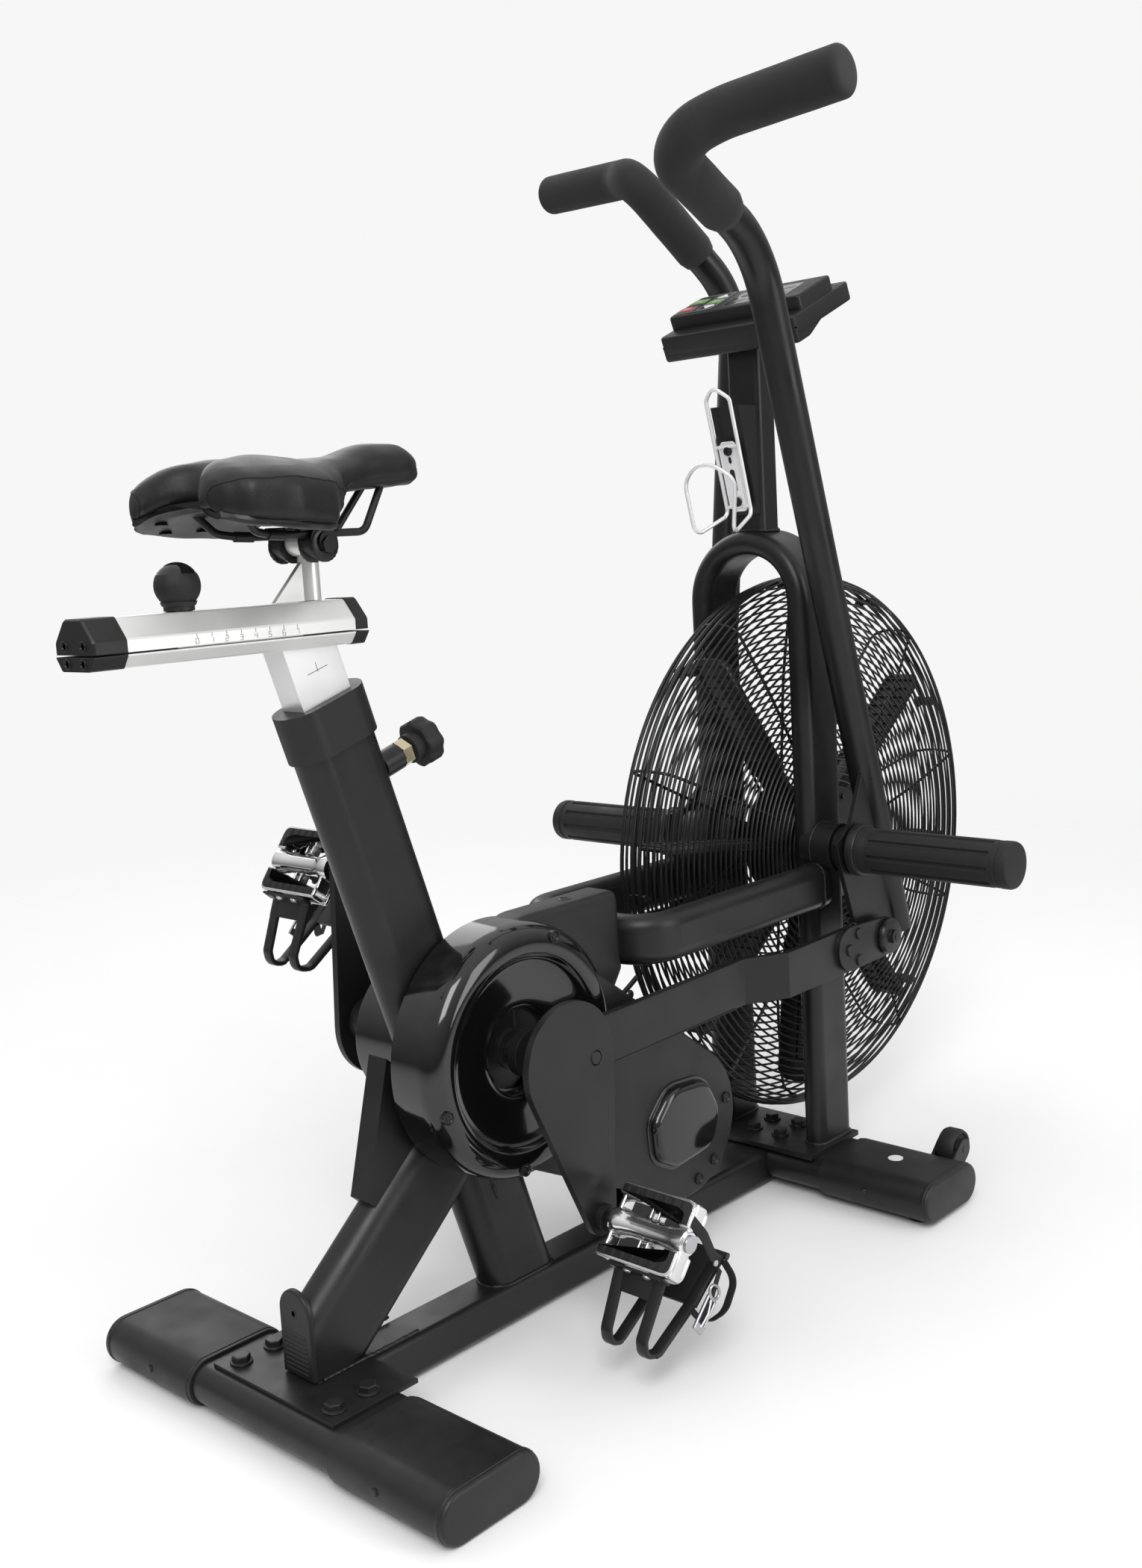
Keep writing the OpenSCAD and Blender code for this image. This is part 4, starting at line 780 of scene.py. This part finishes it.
def padded(obj, voxel, limit):
    """Settles a closed skin with cloth pressure and gives it a soft, slightly creased surface."""
    remesh = obj.modifiers.new("even", "REMESH")
    remesh.mode = "VOXEL"
    remesh.voxel_size = voxel
    even = baked(obj)
    mats = list(obj.data.materials)
    obj.data = even
    obj.data.materials.clear()
    for m in mats:
        obj.data.materials.append(m)
    start = [v.co.copy() for v in even.vertices]
    pin = obj.vertex_groups.new(name="pin")
    for v in even.vertices:
        hold = 1.0 if v.normal.z < -0.35 else max(0.0, min(0.9, 0.5 - v.normal.z))
        pin.add([v.index], hold, "REPLACE")
    cloth = obj.modifiers.new("cloth", "CLOTH")
    cs = cloth.settings
    cs.use_pressure = True
    cs.uniform_pressure_force = 4.0
    cs.vertex_group_mass = "pin"
    cs.quality = 5
    cs.tension_stiffness = cs.compression_stiffness = 30
    cs.bending_stiffness = 2
    cs.effector_weights.gravity = 0.0
    cloth.point_cache.frame_start, cloth.point_cache.frame_end = 1, 20
    scene = bpy.context.scene
    for f in range(1, 21):
        scene.frame_set(f)
    moved = [v.co.copy() for v in baked(obj).vertices]
    scene.frame_set(1)
    for v, a, b in zip(even.vertices, start, moved):
        step = b - a
        v.co = a + step * min(1.0, limit / max(step.length, 1e-9))
    for v in even.vertices:
        v.co += v.normal * 0.0005 * noise.noise(v.co * 55)
    for p in even.polygons:
        p.use_smooth = True
    relax = obj.modifiers.new("relax", "SMOOTH")
    relax.factor, relax.iterations = 0.5, 8
    fine = obj.modifiers.new("fine", "SUBSURF")
    fine.levels = fine.render_levels = 1
    obj.data = baked(obj)


skin = Shape().add(loft([saddle_ring(i / 40) for i in range(41)]))
saddle_pad = put("saddle_pad", skin.mesh("saddle_pad", [SKIN]))
padded(saddle_pad, 0.0045, 0.004)
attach(saddle_pad, "saddle")
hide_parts("saddle")

tree = BVHTree.FromPolygons([v.co.copy() for v in saddle_pad.data.vertices],
                            [list(p.vertices) for p in saddle_pad.data.polygons])
seams = Shape()
PANEL = [(152, 60, 852), (140, 75, 863), (112, 96, 871), (70, 104, 876), (32, 96, 878), (8, 74, 872),
         (-4, 52, 864), (-6, 44, 852), (4, 52, 840), (28, 80, 830), (64, 98, 825), (100, 96, 822),
         (128, 84, 823)]
for s in (-1, 1):
    line = []
    for p in spaced(curve([(x, s * y, z) for x, y, z in PANEL], [12] * 11, 4), 3):
        hit = tree.find_nearest(Vector((X_REAR + p.x, p.y * 1.06, p.z)) * MM)
        line.append(hit[0] / MM + hit[1] * 0.1)
    seams.add(tube(line, 0.7, 6))
seams.build("saddle_seams", "saddle", [RUBBER])

base = Shape()
shell = []
for i in range(1, 40):
    ring = saddle_ring(i / 40, 96)
    lower = [ring[k] for k in range(52, 93, 2)]
    shell.append([(x, y * 0.97, z - 3.4) for x, y, z in lower]
                 + [(x, y * 0.94, z + 2) for x, y, z in reversed(lower)])
base.add(loft(shell))
for s in (-1, 1):
    for t, y in ((0.10, 52), (0.17, 76), (0.28, 62)):
        x = X_REAR + t * (X_NOSE - X_REAR)
        under = tree.ray_cast(Vector((x, s * y, 700)) * MM, Vector((0, 0, 1)))[0].z / MM
        base.add(lathe([(0.3, 0), (3.6, 0), (6.0, -1), (6.0, -2), (0.3, -2.4)], 20), 1,
                 place=at((x, s * y, under - 3)))
    wire = curve([(-524, s * 38, 852), (-500, s * 28, 826), (-476, s * 22, 822), (-374, s * 22, 822),
                  (-342, s * 13, 866)], [14, 20, 16], 8)
    base.add(tube(wire, 3.6, 12), 1)
    base.add(tube([(-484, s * 24, 823), (-466, s * 22, 822)], 4.8, 12), 1)
base.build("saddle_pan_and_rails", "saddle", [MATTE, BLACK_STEEL], ["saddle_frame"])

clamp = Shape()
for s in (-1, 1):
    for y in (14, 30):
        plate = [(5, 0), (13.5, 0), (15.3, 1.2), (15.3, 3.6), (13.5, 4.6), (5, 4.6)]
        clamp.spin(plate, 44, (-428, s * y - 2.3, 812), (0, 1, 0),
                   ripple=lambda a, z: 1 + 0.015 * cos(24 * a))
    clamp.add(box_part(44, 10, 5, 1.5), place=at((-428, s * 22, 827)))
    clamp.add(hex_head(8, 6), smooth=False, place=aimed((-428, s * 33, 812), (0, s, 0)))
clamp.build("saddle_clamp_plates", "saddle", [BLACK_STEEL])

# ---------------- pedals and toe clips


def pedal_shape(s):
    """Cage pedal in its own frame: X along the foot, Z up, centred on the spindle."""
    p = Shape()
    mid = -s * 204
    barrel = [(5.2, -46), (13.5, -46), (14.5, -43), (14.5, -34), (12, -30), (10.5, -20), (10.5, 20),
              (12, 30), (13.5, 38), (13.5, 44), (11, 46), (0.4, 46)]
    p.spin(barrel, 36, (0, mid, 0), (0, -s, 0))
    out, inn = mid - s * 46, mid + s * 46
    for e in (-1, 1):
        plate = round_poly([(e * 38, inn), (e * 38, out), (e * 11, out), (e * 11, out + s * 12),
                            (e * 22, out + s * 12), (e * 25, out + s * 20), (e * 25, inn)],
                           [4, 11, 3, 3, 3, 4, 4], 5)
        for z0, z1 in ((8.5, 12.0), (-12.0, -8.5)):
            p.add(slab(plate, z0, z1, 1.0, 1.0, 3))
            top = z1 if z1 > 0 else z0 - 0.9
            p.add(slab(inset(plate, 2.6), top, top + 0.9, 0.3, 0.3, 2), 1)
            for i in range(7):
                p.add(box_part(7, 4.6, 0.7, 0.2), 1,
                      place=at((e * 31.5, inn - s * (9 + i * 11.5), 13.1 if z1 > 0 else -13.1)))
        p.add(slab(round_rect(5, 84, 2.2), -10, 10, 1, 1), place=at((e * 35, mid, 0)))
        for y, w in ((-s * 43, 28), (s * 41, 20)):
            p.add(box_part(w, 5, 17, 2), place=at((e * (w / 2 + 9), mid + y, 0)))
        for y in (-s * 4, s * 5):
            p.add(box_part(22, 2.6, 12, 1), place=at((e * 22, mid + y, 0)))
        p.add(box_part(5, 11, 3, 1), place=at((e * 30, mid, 7)))
    p.spin([(0.3, 0), (7, 0), (8.5, 1.2), (8.5, 2.4), (0.3, 2.6)], 28, (0, out, 0), (0, -s, 0), 2)
    return p


def clip_shape(s):
    """Two strands that curl round the toe, the plates that join them, and the strap."""
    c = Shape()
    inner, outer = 158, 250
    ramp = curve([(39.8, 0, -9), (40.2, 0, 4), (96, 0, 17), (106, 0, 27), (100, 0, 42), (40, 0, 63),
                  (-12, 0, 71.5)], [5, 11, 10, 14, 60], 8)
    for y0, lean in ((22, 4), (77, -7)):
        path = []
        for x, _, z in ramp:
            drift = lean * min(1.0, x / 90) * (1 if z < 40 else z / 60)
            path.append((x, -s * (inner + y0 + drift), z))
        c.add(band(path, 13, 5.6, (0, 1, 0)))
    mid = -s * (inner + 51)
    for a, b, w in (((40, -9), (41, 3), 70), ((41, 3), (60, 8.2), 58)):
        middle = ((a[0] + b[0]) / 2, mid, (a[1] + b[1]) / 2)
        c.add(band([(a[0], mid, a[1]), middle, (b[0], mid, b[1])], w, 2.6, (0, 1, 0)))
    c.add(band([(44, mid, 61.4), (20, mid, 66.4), (1, mid, 69.6), (-13, mid, 71.8)], 62, 3.4, (0, 1, 0)))
    c.add(band([(-13, mid - 36, 72), (-13, mid + 36, 72)], 7, 6, (1, 0, 0)))
    for y in (38, 62):
        c.spin([(0.4, 0), (4.8, 0), (4.6, 1.4), (2, 2.6), (0.4, 2.7)], 20,
               (41.6, -s * (inner + y), -2.4), (1, 0, -0.1), 1)
    out = -s
    edge = out * (outer + 2)
    strap = curve([(-20, edge - out * 3, -10), (-14, edge, 14), (-4, edge - out * 4, 44),
                   (-6, edge - out * 12, 74), (-10, edge - out * 30, 79), (-10, mid, 78)],
                  [30, 40, 14, 14], 8)
    c.add(band(strap, 11, 2, (1, 0, 0)), 2)
    tail = curve([(-8, edge - out * 10, 72), (4, edge + out * 2, 84), (34, edge - out, 92),
                  (54, edge - out * 12, 84), (44, edge - out * 24, 62)], [20, 22, 14], 8)
    c.add(band(tail, 10, 1.8, (0.2, 0.8, 0.3)), 2)
    tongue = [(2, edge - out * 6, 66), (30, edge - out * 3, 66), (60, edge - out * 2, 60)]
    c.add(band(tongue, 11, 2, (0, 0.3, 1)), 2)
    buckle = aimed((46, edge - out, 62), (0, out, 0.1), (1, 0, -0.1))
    for dx, dy, w, h in ((0, -8, 32, 2.4), (0, 8, 32, 2.4), (-15, 0, 2.6, 17), (15, 0, 8, 18)):
        c.add(box_part(w, h, 3.2, 1), 1, place=buckle @ at((dx, dy, 0)))
    c.add(tube([(-14, 0, 0), (0, 0, 3.4), (14, 0, 2)], 1.3, 10), 1, place=buckle)
    ring_path = [(6 * cos(a * TAU / 32), 10 * sin(a * TAU / 32), 0) for a in range(32)]
    c.add(tube(ring_path, 1.5, 10, closed=True), 1, place=buckle @ at((-22, 0, 0)))
    c.spin([(0.3, 0), (3.4, 0), (3, 1.6), (0.3, 2)], 16, (0, edge - out * 4, 52), (0, out, 0), 1)
    return c


for s, tilt, centre, label in ((1, 131, PEDAL[0], "right"), (-1, 126, PEDAL[1], "left")):
    m = at(centre) @ Matrix.Rotation(radians(tilt), 4, "Y")
    for shape, name, mats, node_name in (
            (pedal_shape(s), "pedal_cage", [BRIGHT, RUBBER, STEEL], f"pedal_{label}"),
            (clip_shape(s), "toe_clip_and_strap", [MATTE, STEEL, STRAP], f"toe_clip_{label}")):
        shape.v = [m @ v for v in shape.v]
        shape.build(f"{name}_{label}", f"pedal_{label}", mats, [node_name])

plugs = Shape()
for s in (-1, 1):
    plugs.spin([(0.3, 0.5), (6.2, 0.5), (6.6, 0), (7.4, 0), (7.6, 0.6), (8.2, 0.4), (8.4, -0.5)], 36,
               (CRANK.x - s * 34, s * 142, CRANK.z + s * 4), (0, s, 0))
plugs.build("crank_plate_plugs", "crank", [PAINT])

# ---------------- foot pegs


def groove(a, z):
    """Nine shallow flutes along the sleeve."""
    return 1 - 0.085 * max(0.0, min(1.0, 3.2 * cos(9 * a) - 1.7)) * (1 if 12 < z < 165 else 0)


pegs = Shape()
profile = [(10.2, -16), (24, -16), (26, -14.6), (27, -12), (27, 4), (26.4, 6), (26.4, 11.8), (26.8, 12.2),
           (26.8, 40), (26.8, 90), (26.8, 140), (26.8, 164.8), (26.4, 165.2), (26.4, 172), (25.8, 172.6),
           (25.8, 174.4), (26.8, 175), (26.8, 184), (25.6, 187), (22, 188), (0.4, 188.3)]
pegs.spin(profile, 108, (PEG.x, -150, PEG.z), (0, -1, 0), ripple=groove)
pegs.spin([(25, 0), (30, 0), (31, 1.2), (31, 10), (30, 11.6), (26, 12)], 48,
          (PEG.x, -135, PEG.z), (0, -1, 0), 1)
pegs.mirrored().build("foot_peg_sleeves", "frame", [RUBBER, MATTE], ["foot_pegs"])

# ---------------- grips

GRIP_R = 24
# Bends of the handle's centre line, from the foot peg's axis
KNEE, ELBOW, WRIST, TIP = (5, -122, 690), (-172, -158, 795), (-139, -203, 813), (-130, -335, 821)


def grip_shape(s):
    """Foam sleeve over the handle's end, thinner at the open end and domed at the tip."""
    start = Vector(KNEE).lerp(Vector(ELBOW), 0.36)
    path = spaced(curve([start, ELBOW, WRIST, TIP], [34, 62], 14), 5)
    radii = []
    for i, p in enumerate(path):
        r = GRIP_R * (1 + 0.008 * noise.noise(p * 0.05))
        radii.append(min(r, 21.2 + i * 1.4))
    end = (path[-1] - path[-2]).normalized()
    for k in range(1, 9):
        a = k / 8 * TAU / 4
        path.append(Vector(TIP) + end * 7 * sin(a))
        radii.append(GRIP_R * (0.62 + 0.38 * cos(a)) if k < 8 else GRIP_R / 2)
    g = Shape().add(tube(path, radii, 40))
    turn = at(PEG) @ Matrix.Rotation(radians(-12 if s > 0 else 12), 4, "Y")
    if s < 0:
        turn = turn @ Matrix.Diagonal((1, -1, 1, 1))
    g.v = [turn @ v for v in g.v]
    return g


for s, label in ((1, "right"), (-1, "left")):
    grip_shape(s).build(f"foam_grip_{label}", f"arm_{label}", [FOAM], [f"grip_{label}"], sharp=70)

for s, label in ((1, "right"), (-1, "left")):
    a = radians(-12 if s > 0 else 12)
    px = PEG.x + 19.6 * cos(a) - 119.3 * sin(a)
    pz = PEG.z - 119.3 * cos(a) - 19.6 * sin(a)
    rear = CRANK + s * 26 * Vector((cos(radians(12)), 0, -sin(radians(12))))
    j = Shape()
    j.spin([(13, 0), (20, 0), (22, 1.6), (22, 5), (20, 7.6), (11, 8.6), (8, 8.6)], 40,
           (px, -s * 144.4, pz), (0, -s, 0), 1)
    j.add(hex_head(9.5, 6), 0, False, aimed((px, -s * 152, pz), (0, -s, 0)))
    j.spin([(0.3, 0), (4, 0), (4, 1), (0.3, 1)], 20, (px, -s * 158, pz), (0, -s, 0))
    for dx, dz in ((-62, 16), (-82, 0), (-62, -16)):
        j.spin([(0.3, 1.2), (3.2, 1.0), (4.0, 2.6), (6.4, 2.6), (7, 1.6), (7, 0)], 24,
               (px + dx, -s * 145, pz + dz), (0, -s, 0))
    for dz in (-26, 26):
        start = (rear.x + 26, -s * 112.2, rear.z + dz * 0.98)
        end = (rear.x + 270, -s * 112.2, rear.z + (pz - rear.z) * 0.5 + dz * 0.98)
        j.add(tube([start, end], 0.9, 6), 1)
    j.build(f"link_fasteners_{label}", f"link_{label}", [BLACK_STEEL, PAINT])

# ---------------- console

TILT = radians(22.7)
desk = at((214, 0, 1011)) @ Matrix.Rotation(-TILT, 4, "Y")
# Name, place on the desk, colour, and which way its arrow points (0 for three bars)
KEYS = (("key_up", 82, 46, WHITE, 1), ("key_down", 44, 46, WHITE, -1),
        ("key_green_right", 62, 46, GREEN, 0), ("key_green_left", 74, 78, GREEN, 0),
        ("key_red", 46, 78, RED, 0))
con = Shape()
con.add(slab(round_poly(rect(2, 128, -97, 97), 7, 4), 5, 27, 3, 2.4), place=desk)
tray = [(2.3, -4), (2.3, 16), (124, 16), (124, 6), (62, 6), (30, -4)]
con.add(slab(round_poly(tray, [5, 1, 1, 1, 20, 20], 5), -96.6, 96.6, 3, 3), place=desk @ SIDEWAYS)
con.add(slab(round_poly(rect(26, 100, -94, 94), 6, 4), 24, 44, 0, 3), place=desk)
con.add(slab(round_poly(rect(30, 97, 32, 91), 5, 4), 43, 44.5, 0, 0.5), place=desk)
frame_line = [(x, y, 44.6) for x, y in round_poly(rect(33, 94, 35, 88), 5, 5)]
con.add(tube(frame_line, 0.5, 6, closed=True), 1, place=desk)
for _, x, y, _, _ in KEYS:
    line = [(px, py, 44.7) for px, py in round_poly(rect(x - 8.6, x + 8.6, y - 11.6, y + 11.6), 3, 3)]
    con.add(tube(line, 0.45, 6, closed=True), 1, place=desk)
for i in range(9):
    con.add(box_part(5 if i % 4 else 9, 0.8, 0.4, 0.15), 1, place=desk @ at((108, -88 + i * 12.5, 27.3)))
    con.add(box_part(3, 7, 0.4, 0.15), 1, place=desk @ at((117, -86 + i * 13, 27.3)))
for y in (-80, 80):
    for x in (16, 112):
        con.add(lathe([(1.5, 0), (4.5, 0), (4.5, -1.4), (3, -2), (1.5, 1)], 20), 2,
                place=desk @ at((x, y, 5)))
con.build("console_case", "frame", [MATTE, GREY, BLACK_STEEL], ["console_housing"])

screen = Shape()
screen.add(slab(round_rect(47, 89, 3), 42.4, 44.3, 0, 0.7), place=desk @ at((60, -25, 0)))
for i in range(4):
    for j in range(2):
        screen.add(box_part(8, 14, 0.2, 0.08), 1, place=desk @ at((50 + j * 20, -56 + i * 20, 44.4)))
screen.build("console_screen", "frame", [GLASS, GREY], ["console_display"])

for name, x, y, mat, arrow in KEYS:
    k = Shape()
    if arrow:
        top = round_poly([(x + 6 * arrow, y), (x - 5 * arrow, y - 9), (x - 5 * arrow, y + 9)], 1.5, 3)
    else:
        top = round_poly(rect(x - 7, x + 7, y - 9.6, y + 9.6), 2.5, 3)
    k.add(slab(top, 40, 45.6, 0, 0.9, 3), place=desk)
    if not arrow:
        for d in (-3, 0, 3):
            k.add(box_part(0.6, 10, 0.2, 0.08), 1, place=desk @ at((x + d, y, 45.65)))
    k.build(f"button_{name[4:]}", name, [mat, WHITE], [name])

# ---------------- bottle cage

cage = Shape()
hang = at((200.2, 0, 948)) @ Matrix.Rotation(radians(-14.7), 4, "Y")
half = [(-9, -17, -127), (-64, -28, -136), (-53, -37, -75), (-62, 0, -42), (-53, 37, -75), (-64, 28, -136),
        (-9, 17, -127)]
whole = [(-9, -17, -60)] + half + [(-9, 17, 10), (-14, 0, 26), (-9, -17, 10), (-9, -17, -60)]
cage.add(tube(curve(whole, [9, 9, 20, 34, 20, 9, 9, 9, 10, 9], 8), 2.4, 12), place=hang)
cage.add(slab(round_rect(22, 84, 5, 5), 0, 2.4, 0.8, 0.8, 3),
         place=hang @ aimed((-5.4, 0, -82), (-1, 0, 0), (0, 1, 0)))
for y in (-11, 11):
    cage.add(tube([(-7, y * 1.1, -44), (-7, y * 1.1, -120)], 1.7, 8), place=hang)
for z in (-46, -118):
    cage.add(tube([(-8, -17, z), (-8, 17, z)], 2.0, 10), place=hang)
for z, h, w in ((-62, 8, 4), (-86, 26, 6.5)):
    cage.add(slab(round_rect(w, h, 2.4, 4), 2.3, 2.7, 0, 0), 1,
             place=hang @ aimed((-5.4, 0, z), (-1, 0, 0), (0, 1, 0)))
for z in (-51, -112):
    cage.add(lathe([(0.3, 1.4), (2.4, 1.2), (3, 3), (5, 3), (5.6, 1.6), (5.6, 0)], 24), 1,
             place=hang @ aimed((-7.8, 0, z), (-1, 0, 0)))
cage.build("bottle_wire_cage", "frame", [ALLOY, BLACK_STEEL], ["bottle_cage"])

# ---------------- floor, light and camera

floor = bpy.data.meshes.new("floor")
floor.from_pydata([(x, y, -0.0005) for x, y in rect(-30, 30, -30, 30)], [], [(0, 1, 2, 3)])
floor.materials.append(FLOOR)
put("floor", floor)

# The floor fades out away from the bike
fade = FLOOR.node_tree
surface = next(node for node in fade.nodes if node.type == "BSDF_PRINCIPLED")
target = next(node for node in fade.nodes if node.type == "OUTPUT_MATERIAL")
new, link = tools(fade)
where = new("TexCoord")
far = new("VectorMath", operation="LENGTH")
ramp = new("MapRange", {"From Min": 1.1, "From Max": 3.4}, interpolation_type="SMOOTHSTEP")
clear_air = new("BsdfTransparent")
blend = new("MixShader")
link(where.outputs["Object"], far.inputs[0])
link(far.outputs["Value"], ramp.inputs["Value"])
link(ramp.outputs[0], blend.inputs[0])
link(surface.outputs[0], blend.inputs[1])
link(clear_air.outputs[0], blend.inputs[2])
link(blend.outputs[0], target.inputs[0])

# Even white behind the bike; the light that reaches it is darker from below
world = bpy.data.worlds.new("studio")
world.use_nodes = True
world.node_tree.nodes.clear()
new, link = tools(world.node_tree)
target = new("OutputWorld")
blend = new("MixShader")
path = new("LightPath")
seen = new("Background", {"Color": (1, 1, 1, 1), "Strength": 0.93})
lit = new("Background", {"Color": (1, 1, 1, 1)})
way = new("TexCoord")
split = new("SeparateXYZ")
rise = new("MapRange", {"From Min": -0.15, "From Max": 0.8, "To Min": 0.16, "To Max": 1.0})
link(way.outputs["Generated"], split.inputs[0])
link(split.outputs[2], rise.inputs["Value"])
link(rise.outputs[0], lit.inputs["Strength"])
link(path.outputs["Is Camera Ray"], blend.inputs[0])
link(lit.outputs[0], blend.inputs[1])
link(seen.outputs[0], blend.inputs[2])
link(blend.outputs[0], target.inputs[0])
bpy.context.scene.world = world
bpy.context.scene.view_settings.view_transform = "Standard"


def softbox(name, place, aim, w, h, power):
    """A rectangular lamp at place that points at aim."""
    light = bpy.data.lights.new(name, "AREA")
    light.shape, light.size, light.size_y, light.energy = "RECTANGLE", w, h, power
    obj = put(name, light)
    obj.location = place
    obj.rotation_mode = "QUATERNION"
    obj.rotation_quaternion = (Vector(aim) - Vector(place)).to_track_quat("-Z", "Y")


softbox("key", (-2.4, -2.0, 3.0), (0, 0, 0.5), 1.6, 2.2, 90)
softbox("fill", (0.8, -3.4, 1.4), (0, 0, 0.6), 1.4, 2.4, 45)
softbox("back", (1.2, 3.0, 2.4), (0, 0, 0.6), 2.0, 2.0, 20)

camera = bpy.data.cameras.new("camera")
camera.sensor_width, camera.lens = 36, 36.76
cam = put("camera", camera)
right = Vector((0.67784, -0.73303, -0.05655))
down = Vector((-0.14772, -0.06044, -0.98718))
ahead = Vector((0.72022, 0.67750, -0.14925))
turn = Matrix((right, -down, -ahead)).transposed().to_4x4()
turn.translation = Vector((-1.3302, -1.1612, 0.802))
cam.matrix_world = turn
camera.clip_start = 0.05
bpy.context.scene.camera = cam
